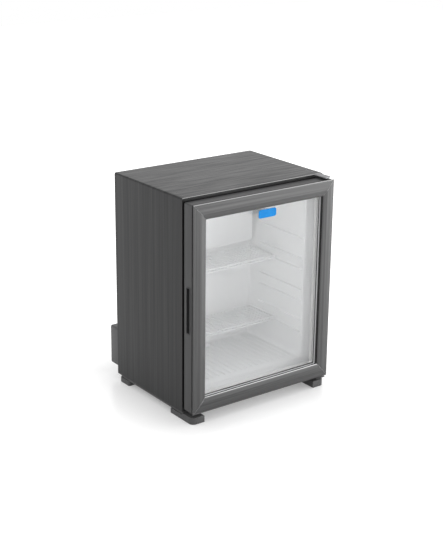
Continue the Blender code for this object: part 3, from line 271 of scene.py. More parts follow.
def newGroup(name, inputs, outputs):
    group = bpy.data.node_groups.new(name, "ShaderNodeTree")
    for label, value in inputs.items():
        kind = "NodeSocketVector" if isinstance(value, tuple) else "NodeSocketFloat"
        socket = group.interface.new_socket(label, in_out="INPUT", socket_type=kind)
        socket.default_value = value
    for label in outputs:
        group.interface.new_socket(label, in_out="OUTPUT", socket_type="NodeSocketFloat")
    given, out = [group.nodes.new("NodeGroup" + end) for end in ("Input", "Output")]
    return group, given.outputs, out.inputs


def placeGroup(tree, group, values):
    return addNode(tree, "Group", values, node_tree=group).outputs


def compute(tree, operation, first, second, clamp=False):
    return addNode(tree, "Math", {0: first, 1: second}, operation=operation,
                   use_clamp=clamp).outputs[0]


def times(tree, first, second, clamp=False):
    return compute(tree, "MULTIPLY", first, second, clamp)


def vectorMath(tree, operation, values, output="Vector"):
    return addNode(tree, "VectorMath", values, operation=operation).outputs[output]


def noise(tree, vector, scale, detail=3.0, roughness=0.55):
    return addNode(tree, "TexNoise", {"Vector": vector, "Scale": scale, "Detail": detail,
                                      "Roughness": roughness}).outputs["Fac"]


def stretchedNoise(tree, vector, stretch, detail, roughness):
    vector = vectorMath(tree, "MULTIPLY", {0: vector, 1: stretch})
    return noise(tree, vector, 1.0, detail, roughness)


def ranged(tree, value, low, high, fromLow=0.0, fromHigh=1.0):
    return addNode(tree, "MapRange", {"Value": value, "From Min": fromLow, "From Max": fromHigh,
                                      "To Min": low, "To Max": high}).outputs["Result"]


def mixColours(tree, factor, first, second):
    node = addNode(tree, "Mix", {"Factor": factor}, data_type="RGBA")
    for label, value in (("A", first), ("B", second)):
        socket = [found for found in node.inputs if found.name == label and found.type == "RGBA"][0]
        feed(tree, socket, value if hasattr(value, "is_linked") else (*value, 1.0))
    return [found for found in node.outputs if found.type == "RGBA"][0]


def objectPlace(tree):
    return addNode(tree, "TexCoord").outputs["Object"]


def surfaceNormal(tree):
    return addNode(tree, "NewGeometry").outputs["Normal"]


def normalParts(tree):
    return addNode(tree, "SeparateXYZ", {0: surfaceNormal(tree)}).outputs


def brushedGrainGroup():  # long fine scratches with slow bands across them, wavier on a top
    group, given, out = newGroup("brushedGrain", {
        "Stretch": (4, 700, 4), "Bands": (1.2, 60, 1.2), "Band Share": 0.4, "Top Streaks": 0.0},
        ["Tone", "Height"])
    place, share = objectPlace(group), given["Band Share"]
    fine = stretchedNoise(group, place, given["Stretch"], 4.0, 0.65)
    wide = stretchedNoise(group, place, given["Bands"], 2.0, 0.5)
    waves = stretchedNoise(group, place, (9, 330, 9), 3.0, 0.6)
    tone = compute(group, "ADD", times(group, wide, share),
                   times(group, fine, compute(group, "SUBTRACT", 1.0, share)))
    lift = times(group, compute(group, "MAXIMUM", normalParts(group)["Z"], 0.0),
                 given["Top Streaks"])
    tone = compute(group, "ADD", tone, times(group, compute(group, "SUBTRACT", waves, 0.5), lift))
    feed(group, out["Tone"], tone)
    feed(group, out["Height"], fine)
    return group


def mouldedSkinGroup():  # fine texture of moulded plastic, with slow shade changes
    group, given, out = newGroup("mouldedSkin", {"Pore Scale": 900.0, "Cloud Scale": 9.0},
                                 ["Cloud", "Height"])
    place = objectPlace(group)
    feed(group, out["Cloud"], noise(group, place, given["Cloud Scale"], 3.0))
    feed(group, out["Height"], noise(group, place, given["Pore Scale"], 2.0))
    return group


def edgeWearAndSheenGroup():  # mask along outside edges, broken up by noise; the lighter edges it gives are partly wear and partly painted highlight
    group, given, out = newGroup("edgeRub", {"Radius": 0.0012, "Gain": 4.0}, ["Edge"])
    bevel = addNode(group, "Bevel", {"Radius": given["Radius"]}, samples=4)
    alike = vectorMath(group, "DOT_PRODUCT", {0: bevel.outputs["Normal"], 1: surfaceNormal(group)},
                       "Value")
    turned = compute(group, "SUBTRACT", 1.0, alike)
    broken = compute(group, "ADD", noise(group, objectPlace(group), 90.0, 3.0), 0.35)
    feed(group, out["Edge"], times(group, times(group, turned, given["Gain"]), broken, True))
    return group


def settledDustGroup():  # thin film on faces that look up
    group, given, out = newGroup("settledDust", {"Patch Scale": 30.0, "Amount": 0.3}, ["Dust"])
    patch = noise(group, objectPlace(group), given["Patch Scale"], 4.0)
    mask = times(group, times(group, normalParts(group)["Z"], patch), given["Amount"], True)
    feed(group, out["Dust"], mask)
    return group


def paintedFrontTopHighlightGroup():  # mask for a painted highlight on rounded edges between a front and a top
    group, given, out = newGroup("frontTopEdge", {"Start": 0.45, "End": 0.75}, ["Edge"])
    parts = normalParts(group)
    both = times(group, times(group, parts["Y"], -2.0), parts["Z"])
    feed(group, out["Edge"], ranged(group, both, 0.0, 1.0, given["Start"], given["End"]))
    return group


def spangleGroup():  # crystal patches of galvanised sheet
    group, given, out = newGroup("spangle", {"Patch Scale": 120.0}, ["Tone", "Height"])
    place = objectPlace(group)
    cells = addNode(group, "TexVoronoi", {"Vector": place, "Scale": given["Patch Scale"]})
    split = addNode(group, "SeparateColor", {0: cells.outputs["Color"]})
    feed(group, out["Tone"], split.outputs[0])
    feed(group, out["Height"], noise(group, place, 500.0, 3.0))
    return group


grainGroup = brushedGrainGroup()
skinGroup = mouldedSkinGroup()
wearAndSheenGroup = edgeWearAndSheenGroup()
dustGroup = settledDustGroup()
zincGroup = spangleGroup()
paintedTopHighlightGroup = paintedFrontTopHighlightGroup()
dustColour = (0.45, 0.44, 0.42)


# Finishes

def newMaterial(name):
    material = bpy.data.materials.new(name)
    material.use_nodes = True
    return material, material.node_tree, material.node_tree.nodes["Principled BSDF"]


def finish(name, dark, light, rough, bump, pattern=skinGroup, values=None, toneRange=(0.25, 0.75),
           rub=None, topEdge=None, dust=0.0, metallic=0.0, ior=1.45, bumpDepth=0.0001):
    material, tree, shader = newMaterial(name)
    grain = placeGroup(tree, pattern, values or {})
    tone = ranged(tree, grain[0], 0.0, 1.0, *toneRange)
    colour = mixColours(tree, tone, dark, light)  # dark to light by the pattern
    for over, group, amount in ((rub, wearAndSheenGroup, {}), (topEdge, paintedTopHighlightGroup, {}),
                                (dust and dustColour, dustGroup, {"Amount": dust})):
        if over:  # lighter edges, partly wear and partly painted highlight; painted highlight on front-top edges; dust on top
            colour = mixColours(tree, placeGroup(tree, group, amount)[0], colour, over)
    raised = addNode(tree, "Bump", {"Strength": bump, "Distance": bumpDepth,
                                    "Height": grain["Height"]})
    feedAll(tree, shader, {"Base Color": colour, "Roughness": ranged(tree, tone, *rough),
                           "Metallic": metallic, "IOR": ior, "Normal": raised.outputs["Normal"]})
    material.diffuse_color = (*light, 1.0)
    return material


def grey(level, blue=0.0):  # blue: how far its blue lies over red and green
    return (level, level, level + blue)


# Sheet edges: the lighter edge colour is partly wear and partly painted highlight; the front-top
# edge colour is a painted highlight.
brushedSheet = {"dark": grey(0.021, 0.001), "light": grey(0.055), "rough": (0.46, 0.36),
                "metallic": 0.8, "bump": 0.08, "pattern": grainGroup, "rub": grey(0.22),
                "topEdge": grey(0.46)}
bezelSheet = dict(brushedSheet, dark=grey(0.050, 0.001), light=grey(0.108), rub=grey(0.30),
                  topEdge=grey(0.40))

# Lighter edge colours in these finishes are partly wear and partly a painted highlight.
finishes = {
    "brushed_case": finish("brushedCaseSheet", **brushedSheet, values={
        "Stretch": (3, 800, 3), "Bands": (1.5, 120, 1.5), "Top Streaks": 2.0}),
    "brushed_bezel": finish("bezelBrushedAcross", **bezelSheet, values={
        "Stretch": (4, 900, 900), "Bands": (2, 260, 260), "Band Share": 0.7}),
    "door_plastic": finish("doorFramePlastic", grey(0.034, 0.001), grey(0.044, 0.001),
                           (0.42, 0.52), 0.25, rub=grey(0.28)),
    "base_plastic": finish("footPlastic", grey(0.056, 0.001), grey(0.076, 0.001),
                           (0.42, 0.55), 0.35, rub=grey(0.20), dust=0.05),
    "gasket_rubber": finish("gasketRubber", grey(0.022, 0.001), grey(0.034, 0.001),
                            (0.65, 0.75), 0.2, values={"Pore Scale": 600.0}),
    "liner_plastic": finish("linerWhitePlastic", (0.825, 0.832, 0.842), (0.855, 0.860, 0.866),
                            (0.42, 0.52), 0.015, values={"Cloud Scale": 5.0}),
    "foam": finish("insulationFoam", (0.66, 0.56, 0.34), (0.82, 0.74, 0.52), (0.85, 0.95), 0.8,
                   bumpDepth=0.0006, values={"Pore Scale": 350.0, "Cloud Scale": 40.0}),
    "shelf_coating": finish("shelfWhiteCoating", (0.74, 0.75, 0.76), (0.84, 0.85, 0.86),
                            (0.32, 0.45), 0.12, values={"Pore Scale": 500.0}),
    "spacer_metal": finish("spacerAluminium", (0.74, 0.735, 0.73), (0.84, 0.835, 0.83),
                           (0.45, 0.55), 0.04, grainGroup, metallic=0.3,
                           values={"Stretch": (300, 300, 8), "Bands": (40, 40, 4)}),
    "badge_blue": finish("badgeBlueEnamel", (0.004, 0.22, 0.64), (0.012, 0.28, 0.72),
                         (0.45, 0.55), 0.05, ior=1.25, values={"Cloud Scale": 60.0}),
    "hinge_steel": finish("hingeSteel", grey(0.20, 0.01), grey(0.30, 0.01), (0.45, 0.35), 0.08,
                          grainGroup, metallic=0.9, rub=grey(0.50, 0.01),
                          values={"Stretch": (700, 40, 700), "Bands": (60, 6, 60)}),
    "zinc_sheet": finish("zincSheet", (0.36, 0.37, 0.39), (0.50, 0.51, 0.53), (0.40, 0.55), 0.06,
                         zincGroup, metallic=0.85, rub=grey(0.62, 0.01), toneRange=(0.0, 1.0)),
    "black_pipe": finish("blackPipePaint", grey(0.020, 0.001), grey(0.036, 0.002), (0.32, 0.48),
                         0.3, rub=grey(0.10), dust=0.12,
                         values={"Pore Scale": 420.0, "Cloud Scale": 30.0}),
    "fin_aluminium": finish("finAluminium", (0.60, 0.61, 0.62), (0.74, 0.75, 0.76), (0.45, 0.30),
                            0.06, grainGroup, metallic=0.95,
                            values={"Stretch": (600, 600, 12), "Bands": (50, 50, 5)}),
    "white_lens": finish("lampLens", grey(0.88, -0.02), grey(0.94, -0.02), (0.20, 0.30), 0.1),
    "board_green": finish("lampBoard", (0.02, 0.12, 0.05), (0.04, 0.20, 0.09), (0.35, 0.5), 0.1,
                          values={"Cloud Scale": 200.0}),
    "lead_black": finish("leadBlack", grey(0.016), grey(0.028), (0.50, 0.62), 0.3)}
# The lighter edge colours of this bezel finish and the grip are partly wear and partly a painted
# highlight.
bezelUpright = finish("bezelBrushedUpright", **bezelSheet, values={
    "Stretch": (900, 900, 4), "Bands": (260, 260, 2), "Band Share": 0.7})
gripBlack = finish("gripCupPlastic", grey(0.018, 0.001), grey(0.026, 0.001), (0.50, 0.60), 0.25,
                   rub=grey(0.16))
beadGrey = finish("glazingBeadGrey", grey(0.58, 0.01), grey(0.66, 0.01), (0.40, 0.50), 0.05)


def paneGlass():  # clear glass that lets lamps through, with faint haze in its roughness
    look = {"tint": (0.972, 0.976, 0.976), "lightTint": (0.980, 0.982, 0.982),
            "rough": (0.0, 0.012), "ior": 1.45, "shadow": 0.955}
    material, tree, shader = newMaterial("paneGlass")
    cloud = placeGroup(tree, skinGroup, {"Cloud Scale": 12.0})["Cloud"]
    feedAll(tree, shader, {"Base Color": mixColours(tree, cloud, look["tint"], look["lightTint"]),
                           "Roughness": ranged(tree, cloud, *look["rough"]),
                           "IOR": look["ior"], "Transmission Weight": 1.0})
    clear = addNode(tree, "BsdfTransparent", {"Color": (*grey(look["shadow"]), 1.0)})
    path = addNode(tree, "LightPath")
    mix = addNode(tree, "MixShader", {"Fac": path.outputs["Is Shadow Ray"],
                                      1: shader.outputs["BSDF"], 2: clear.outputs["BSDF"]})
    tree.links.new(mix.outputs["Shader"], tree.nodes["Material Output"].inputs["Surface"])
    return material


finishes["clear_glass"] = paneGlass()
print("finishes made:", len(finishes))


# Fitting pieces to the frame

def addPiece(bm, name, slotName, *replaced, body="cabinet", sharp=35, material=None, **tools):
    piece = pieceFrom(bm, name, sharp)
    for kind, tool in tools.items():  # cut= and join= are worked in the order they are given
        if tool is not None:
            combine(piece, pieceFrom(tool, name + kind.title()),
                    {"cut": "DIFFERENCE", "join": "UNION"}[kind])
    piece.data.materials.clear()
    piece.data.materials.append(material or finishes[slotName])
    for face in piece.data.polygons:
        face.material_index = 0
    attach(piece, body)
    if replaced:
        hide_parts(*replaced)
    return piece


def turnedPiece(name, slotName, replaced, axis, middle, profile, sides=32):
    bm = bmesh.new()
    addTurned(bm, axis, middle, profile, sides)
    addPiece(bm, name, slotName, *replaced)


def carryOver(name, slotName, edge=0.0, material=None):  # a CAD node that keeps its shape
    node = nodes[name]
    node.data.materials.clear()
    node.data.materials.append(material or finishes[slotName])
    if edge:
        weld = node.modifiers.new("weld", "WELD")
        weld.merge_threshold = 0.00002
        softenEdges(node, edge)
        node.modifiers.new("even", "WEIGHTED_NORMAL")


def screwHeads(name, places, axis, side, radius):  # places: seats of the heads; side: way they face
    look = {"rise": 0.0012, "seat": 0.0005, "recess": 0.55}
    rise, deep = look["rise"], look["recess"]
    bm, cutter = bmesh.new(), bmesh.new()
    for place in places:
        dome = [(radius, -look["seat"] * side), (radius, 0.35 * rise * side)]
        dome += [(radius * cosOf(turn) ** 0.6, rise * (0.35 + 0.65 * sinOf(turn)) * side)
                 for turn in (20, 40, 60, 75)]
        addTurned(bm, axis, place, dome, 28)
        top = list(place)
        top["XYZ".index(axis)] += rise * side
        addCross(cutter, top, axis, deep * radius, deep * rise)
    addPiece(bm, name, "hinge_steel", cut=cutter)


# Case, panels and base

caseLow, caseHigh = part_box("outer_case")
caseFront = caseLow.y
caseShape = {"sheet": 0.001, "corner": 0.004, "edge": 0.0003, "fold": 0.0012, "hem": 0.0132,
             "holeRadius": 0.0038, "holeSide": 0.015, "holeRows": (0.021, 0.041)}
screwPlaces = {(side, row): (side * (caseHigh.x - caseShape["holeSide"]), caseFront + row,
                             caseHigh.z) for side in (-1, 1) for row in caseShape["holeRows"]}
pipeShape = {"pipe": 0.0065, "coil": 0.008, "sides": 20, "drops": (0.088, 0.150)}
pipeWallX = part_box("return_pipe")[0].x + pipeShape["pipe"]
pipeHeights = [caseHigh.z - drop for drop in pipeShape["drops"]]


def hingeNotch(bm, depth, top):  # room for the top hinge's plate
    low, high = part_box("top_hinge_bracket")
    addBlock(bm, (low.x - 0.0003, caseFront - 0.002, low.z - 0.0003),
             (high.x + 0.0003, caseFront + depth, top), 0.0001)


def makeCase():
    corner, sheet, fold, edge, hem = [caseShape[name] for name in
                                      ("corner", "sheet", "fold", "edge", "hem")]
    half, top, back = caseHigh.x, caseHigh.z, caseHigh.y
    bend = sheet + 0.0006

    def wrap(inset):
        radius = max(corner - inset, 0.0004)
        side, height = half - inset - radius, top - inset - radius
        return ([(-half + inset, caseLow.z)] + arc(-side, height, radius, 180, 90, 10)
                + arc(side, height, radius, 90, 0, 10) + [(half - inset, caseLow.z)])

    section = [(sheet, back - edge), (sheet - edge, back), (edge, back), (0.0, back - edge)]
    section += [(fold - a, caseFront + fold - b) for a, b in arc(0, 0, fold, 0, 90, 5)]
    section += [(inset, caseFront + depth) for inset, depth in
                ((hem - edge, 0), (hem, edge), (hem, sheet - edge), (hem - edge, sheet),
                 (bend, sheet), (sheet, bend))]
    bm, holes = bmesh.new(), bmesh.new()
    rows = [[bm.verts.new((x, y, z)) for x, z in wrap(inset)] for inset, y in section]
    for first, second in zip(rows, rows[1:] + rows[:1]):
        for index in range(len(first) - 1):
            bm.faces.new((first[index], first[index + 1], second[index + 1], second[index]))
    for end in (0, -1):
        bm.faces.new([row[end] for row in rows])
    hingeNotch(holes, 0.004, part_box("top_hinge_bracket")[1].z + 0.0002)
    for place in screwPlaces.values():
        addRod(holes, "Z", place, caseShape["holeRadius"], 0.006)
    addPiece(bm, "outerCase", "brushed_case", "outer_case", cut=holes)


def makeRearPanel():
    look = {"hole": 0.0072, "bead": 0.0016, "beadInset": 0.030, "screwInset": 0.012,
            "screw": 0.0032}
    low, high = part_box("rear_panel")
    bm, holes, bead = bmesh.new(), bmesh.new(), bmesh.new()
    addBlock(bm, low, high, 0.0002, "Y", 0.003, 6)
    for height in pipeHeights:
        addRod(holes, "Y", (pipeWallX, high.y, height), look["hole"], 0.01)
    loop = boxLoop("Y", low, high, look["beadInset"], 0.02)
    addSweep(bead, [(a, high.y - 0.0004, b) for a, b in loop], look["bead"], 8, True)
    addPiece(bm, "rearPanel", "zinc_sheet", "rear_panel", cut=holes, join=bead)
    inset = look["screwInset"]
    places = [(x, high.y, z) for z in (low.z + 0.02, (low.z + high.z) / 2, high.z - inset)
              for x in (low.x + inset, high.x - inset)]
    places += [(x, high.y, high.z - inset) for x in (-0.07, 0.07)]
    screwHeads("rearPanelScrews", places, "Y", 1, look["screw"])


def makeFeet():
    look = {"edge": 0.0012, "nose": 0.012, "groove": 0.0015, "grooveDepth": 0.0012,
            "grooveSide": 0.016, "step": 0.0127, "soft": 0.0004}
    edge, curve, groove = look["edge"], look["nose"], look["groove"] / 2
    for side, label in ((-1, "left"), (1, "right")):
        low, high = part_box(f"front_{label}_foot")
        outer, inner = (high.x, low.x) if side > 0 else (-low.x, -high.x)
        tail, nose = high.y, low.y

        def outline(inset):
            points = [(inner + inset, nose + inset), (inner + inset, tail - inset),
                      (outer - inset, tail - inset)]
            points += arc(outer - curve, nose + curve, curve - inset, 0, -90, 12)
            return [(side * a, b) for a, b in points]

        bm, cutter = bmesh.new(), bmesh.new()
        addLoft(bm, "Z", [(0, outline(0.4 * edge)), (0.4 * edge, outline(0)),
                          (high.z - edge, outline(0)), (high.z - 0.3 * edge, outline(0.3 * edge)),
                          (high.z, outline(edge))])
        ends = sorted((side * (inner - 0.003), side * (outer + 0.003)))
        addBlock(cutter, (ends[0], caseFront + 0.0022, look["step"]), (ends[1], tail + 0.003, 0.03),
                 0.0001)
        middle = side * (outer - look["grooveSide"])
        addBlock(cutter, (middle - groove, nose - 0.01, -0.01),
                 (middle + groove, nose + look["grooveDepth"], 0.03), 0.0001)
        foot = addPiece(bm, f"frontFoot{label.title()}", "base_plastic", f"front_{label}_foot",
                        cut=cutter)
        softenEdges(foot, look["soft"])

        bm = bmesh.new()
        addBlock(bm, *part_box(f"rear_{label}_foot"), 0.001, "Z", 0.005, 6)
        addPiece(bm, f"rearFoot{label.title()}", "base_plastic", f"rear_{label}_foot")


makeCase()
makeRearPanel()
makeFeet()
carryOver("base_frame", "base_plastic", 0.0006)
carryOver("bottom_panel", "zinc_sheet", 0.0002)
carryOver("insulation_foam", "foam")
print("case, rear panel, base and feet made")


# Liner and what stands in the cold space

linerShape = {"wall": 0.0015, "corner": 0.009, "sideWall": 0.036, "topWall": 0.041,
              "floorWall": 0.044, "mouth": 0.022, "flare": 0.010, "topFlare": 0.005,
              "floorFlare": 0.007, "backRound": 0.006, "hole": 0.0068,
              "ribTops": (0.370, 0.319, 0.292, 0.240, 0.2115, 0.163, 0.131),
              "ribHeight": 0.004, "ribReach": 0.005, "ribEnds": (0.026, 0.027),
              "floorPitch": 0.0165, "floorRib": (0.0042, 0.0020), "floorEnd": 0.014}
linerLow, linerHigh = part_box("inner_liner")
cavityHalf = caseHigh.x - linerShape["sideWall"]
cavityTop = caseHigh.z - linerShape["topWall"]
cavityFloor = caseLow.z + linerShape["floorWall"]
cavityBack = linerHigh.y - linerShape["wall"]


def cavityLoop(along, inset, blend):  # blend 1 at the mouth, 0 at the walls
    half = cavityHalf - inset + linerShape["flare"] * blend
    return (along, roundRect(-half, half, cavityFloor + inset - linerShape["floorFlare"] * blend,
                             cavityTop - inset + linerShape["topFlare"] * blend,
                             linerShape["corner"] - inset, 10))


def addShelfRibs(bm):
    reach, high = linerShape["ribReach"], linerShape["ribHeight"]
    front, back = linerShape["ribEnds"]
    root, face = cavityHalf + 0.0008, cavityHalf - reach
    for top in linerShape["ribTops"]:
        for side in (-1, 1):
            section = [(root, top)] + arc(face + high / 2, top - high / 2, high / 2, 90, 270, 8)
            section.append((root, top - high))
            ends = ((caseFront + front, 0.0025), (caseFront + front + 0.0015, 0.0), (back, 0.0),
                    (back + 0.0015, 0.0025))
            addLoft(bm, "Y", [(along, [(side * (a + min(inset, abs(cavityHalf - a))), b)
                                       for a, b in section]) for along, inset in ends])


def addFloorRibs(bm):
    pitch, sink = linerShape["floorPitch"], 0.0006
    half, rise = linerShape["floorRib"]
    hump = [(half * cosOf(turn), (rise + sink) * sinOf(turn)) for turn in range(0, 181, 15)]
    front = caseFront + linerShape["mouth"] + 0.012
    back = cavityBack - linerShape["floorEnd"]
    count = int(2 * (cavityHalf - linerShape["floorEnd"]) / pitch)
    for index in range(count + 1):
        x = (index - count / 2) * pitch
        addLoft(bm, "Y", [(along, [(x + a, cavityFloor - sink + b * share) for a, b in hump])
                          for along, share in ((front, 0.02), (front + 0.005, 1.0),
                                               (back - 0.005, 1.0), (back, 0.02))])


def makeLiner():
    wall, mouth, radius = linerShape["wall"], linerShape["mouth"], linerShape["backRound"]
    hem = caseShape["hem"] + 0.0003
    low, high = (hem - caseHigh.x, 0, linerLow.z), (caseHigh.x - hem, 0, caseHigh.z - hem)
    mouthSteps = [(0.0, 1.0), (0.0006, 0.93), (0.0018, 0.86), (0.006, 0.66), (0.011, 0.43),
                  (0.017, 0.17), (0.0205, 0.04), (mouth, 0.0)]
    loops = [cavityLoop(caseFront + depth, 0, blend) for depth, blend in mouthSteps]
    loops += [cavityLoop(cavityBack - b, a, 0) for a, b in quarterRound(radius, range(0, 91, 15))]
    rim = boxLoop("Y", low, high, 0, 0.003, 10)
    loops = loops[::-1] + [(caseFront, boxLoop("Y", low, high, 0.0004, 0.0026, 10)),
                           (caseFront + 0.0004, rim), (caseFront + wall, rim)]
    loops += [cavityLoop(caseFront + wall + depth, -wall, blend)
              for depth, blend in ((0, 1.0), (mouth, 0.0))]
    loops.append(cavityLoop(cavityBack + wall, -wall, 0))
    bm, ribs, holes = bmesh.new(), bmesh.new(), bmesh.new()
    addLoft(bm, "Y", loops)
    addShelfRibs(ribs)
    addFloorRibs(ribs)
    for height in pipeHeights:
        addRod(holes, "Y", (pipeWallX, cavityBack, height), linerShape["hole"], 0.01)
    hingeNotch(holes, 0.01, caseHigh.z)
    addPiece(bm, "linerShell", "liner_plastic", "inner_liner", join=ribs, cut=holes)


def makeShelf(name, node, body):
    look = {"rim": 0.0013, "wire": 0.0010, "pitch": 0.0105, "upstand": 0.0087, "corner": 0.006,
            "bend": 0.0020}
    low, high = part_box(node)
    rim, wire, pitch, lift = look["rim"], look["wire"], look["pitch"], low.z + look["upstand"]
    top = low.z + 2 * rim - wire
    left, right, front, back = low.x + rim, high.x - rim, low.y + rim, high.y - rim
    bm = bmesh.new()
    for height in (low.z + rim, lift):
        loop = roundRect(left, right, front, back, look["corner"], 6)
        addSweep(bm, [(a, b, height) for a, b in loop], rim, 10, True)

    def addWires(start, end, layer, place):  # place makes a point from (end, height, across)
        count = int((end - start - 0.006) / pitch)
        for index in range(count + 1):
            across = (start + end) / 2 + (index - count / 2) * pitch
            addSweep(bm, bentPath([place(*spot, across) for spot in
                                   ((0, lift), (0, layer), (1, layer), (1, lift))],
                                  look["bend"], 3), wire, 8)

    addWires(left, right, top, lambda end, z, x: (x, (front, back)[end], z))
    addWires(front, back, top - wire, lambda end, z, y: ((left, right)[end], y, z))
    addPiece(bm, name, "shelf_coating", node, body=body)


def makeEvaporator():
    look = {"corner": 0.006, "edge": 0.0025, "wall": 0.0015}
    low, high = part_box("evaporator_cover")
    edge, wall = look["edge"], look["wall"]
    profile = [(low.y + a, b) for a, b in quarterRound(edge, (0, 22, 45, 67, 90))]
    profile += [(high.y, 0), (high.y, wall), (low.y + wall, wall + edge)]
    bm = bmesh.new()
    addBoxLoft(bm, "Y", low, high, look["corner"], profile)
    addPiece(bm, "evaporatorCover", "liner_plastic", "evaporator_cover")
    carryOver("evaporator_fins", "fin_aluminium", 0.0003)


def makeLamp():
    look = {"edge": 0.0016, "wall": 0.0018, "corner": 0.0036, "window": 0.0015, "ridges": 9,
            "ridge": 0.0006, "diodes": 6}
    low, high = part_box("lamp_housing")
    lensLow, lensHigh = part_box("lamp_lens")
    knob = middleOf("temperature_knob")
    wall, window = look["wall"], look["window"]
    profile = [(low.z + a, b) for a, b in quarterRound(look["edge"], (0, 30, 60, 90))]
    profile += [(high.z, 0), (high.z, wall), (low.z + wall, wall)]
    bm, cutter = bmesh.new(), bmesh.new()
    addBoxLoft(bm, "Z", low, high, look["corner"], profile, 6)
    addBlock(cutter, (lensLow.x + window, lensLow.y + window, low.z - 0.003),
             (lensHigh.x - window, lensHigh.y - window, low.z + 0.004), 0.0002, "Z", 0.001)
    addRod(cutter, "Z", (knob.x, knob.y, low.z), 0.0033, 0.006)
    addPiece(bm, "lampHousing", "liner_plastic", "lamp_housing", cut=cutter)

    bm = bmesh.new()
    left, front, right, back = (lensLow.x + wall, lensLow.y + wall, lensHigh.x - wall,
                                lensHigh.y - wall)
    addBlock(bm, (left, front, lensLow.z + 0.0004), (right, back, lensHigh.z - 0.0002), 0.0005,
             "Z", 0.001)
    for index in range(look["ridges"]):
        x = left + (index + 0.5) * (right - left) / look["ridges"]
        addSweep(bm, [(x, y, lensLow.z + look["ridge"]) for y in (front + 0.001, back - 0.001)],
                 look["ridge"], 10)
    addBlock(bm, (lensLow.x, lensLow.y, lensHigh.z - 0.0012),
             (lensHigh.x, lensHigh.y, lensHigh.z - 0.0002), 0.0002, "Z", 0.001)
    addPiece(bm, "lampLens", "white_lens", "lamp_lens")
    makeThermostat(knob, low.z)

    bm = bmesh.new()
    low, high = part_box("led_board")
    addBlock(bm, low, high, 0.0002, "Z", 0.0008)
    for index in range(look["diodes"]):
        x = low.x + (high.x - low.x) * (index + 0.5) / look["diodes"]
        y = (low.y + high.y) / 2
        addBlock(bm, (x - 0.0016, y - 0.0014, low.z - 0.00025),
                 (x + 0.0016, y + 0.0014, low.z + 0.0004), 0.0002)
    addPiece(bm, "ledBoard", "board_green", "led_board")


def makeThermostat(knob, ceiling):  # marks on the housing, and the knob under them
    look = {"ticks": 9, "sweep": 270, "tickPlace": 0.0125, "tick": 0.0025, "longTick": 0.004,
            "ridges": 24, "ridgeDepth": 0.035, "stem": 0.0028}
    bm = bmesh.new()
    for index in range(look["ticks"]):
        turn = look["sweep"] * index / (look["ticks"] - 1) - 45
        outward = Vector((cosOf(turn), sinOf(turn), 0))
        near = Vector((knob.x, knob.y, ceiling - 0.0001)) + outward * look["tickPlace"]
        addSweep(bm, [near, near + outward * look["tick" if index % 4 else "longTick"]], 0.0003, 8)
    addPiece(bm, "dialMarks", "base_plastic")

    low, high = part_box("temperature_knob")
    radius, bottom, stem = (high.x - low.x) / 2, low.z, ceiling - 0.0003
    sides = 4 * look["ridges"]

    def outline(size, depth=0.0):
        points = []
        for index, (a, b) in enumerate(circle(0, 0, size, sides)):
            share = 1 - depth * (index % 4 in (0, 1))
            points.append((knob.x + a * share, knob.y + b * share))
        return points

    depth = look["ridgeDepth"]
    bm = bmesh.new()
    addLoft(bm, "Z", [(high.z, outline(look["stem"])), (stem, outline(look["stem"])),
                      (stem, outline(radius)), (stem - 0.0008, outline(radius)),
                      (stem - 0.0016, outline(0.95 * radius, depth)),
                      (bottom + 0.0012, outline(0.88 * radius, depth)),
                      (bottom + 0.0003, outline(0.8 * radius)), (bottom, outline(0.74 * radius))])
    addBlock(bm, (knob.x - 0.0006, knob.y - 0.9 * radius, bottom + 0.0001),
             (knob.x + 0.0006, knob.y - 0.25 * radius, bottom + 0.0012), 0.0003)
    addPiece(bm, "thermostatKnob", "liner_plastic", "temperature_knob", body="thermostat_knob",
             sharp=30)


makeLiner()
makeShelf("wireShelfUpper", "upper_shelf", "upper_rack")
makeShelf("wireShelfLower", "lower_shelf", "lower_rack")
makeEvaporator()
makeLamp()
print("liner, shelves, evaporator and lamp made")


# Door

doorFront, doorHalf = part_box("bezel_left")[0].y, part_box("bezel_right")[1].x
doorLow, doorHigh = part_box("bezel_bottom")[0].z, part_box("bezel_top")[1].z
doorMiddle = (doorLow + doorHigh) / 2
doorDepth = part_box("door_frame")[1].y - doorFront
bezelShape = {"width": 0.0368, "leftWidth": 0.0350, "rightWidth": 0.0314, "thick": 0.0054,
              "round": 0.0025, "slope": 0.013, "drop": 0.0026, "crown": 0.0011,
              "mitreGap": 0.00022, "soft": 0.0003}


def addDoorRing(bm, profile, steps=8, wider=0.0):  # profile: (inset, depth, corner if not 0.0025)
    loops = [(doorFront + depth, roundRect(-doorHalf + inset - wider, doorHalf - inset + wider,
                                           doorLow + inset, doorHigh - inset,
                                           corner[0] if corner else 0.0025, steps))
             for inset, depth, *corner in profile]
    addLoft(bm, "Y", loops, True)


def bezelSection():  # (inward, depth): back foot, rounded edge, hollow face, slope to the glass
    width, thick, drop, crown, edge = [bezelShape[name] for name in
                                       ("width", "thick", "drop", "crown", "round")]
    flat = width - bezelShape["slope"]
    section = [(0.0045, thick), (0.0045, 0.0031), (0.0003, 0.0029), (0.0, 0.0026)]
    section += [(edge * (1 - cosOf(turn)), edge - (edge - crown) * sinOf(turn))
                for turn in (0, 12, 24, 36, 48, 60, 70, 80)]
    for done in [step / 8 for step in range(9)]:
        section.append((edge + (flat - edge) * done, crown * (1 - done) ** 2))
    for done in [step / 6 for step in range(1, 7)]:
        section.append((flat + (width - 0.0005 - flat) * done, drop * done * (0.75 + 0.25 * done)))
    return section + [(width, drop + 0.0005), (width - 0.0004, drop + 0.0012),
                      (width - 0.0004, thick)]


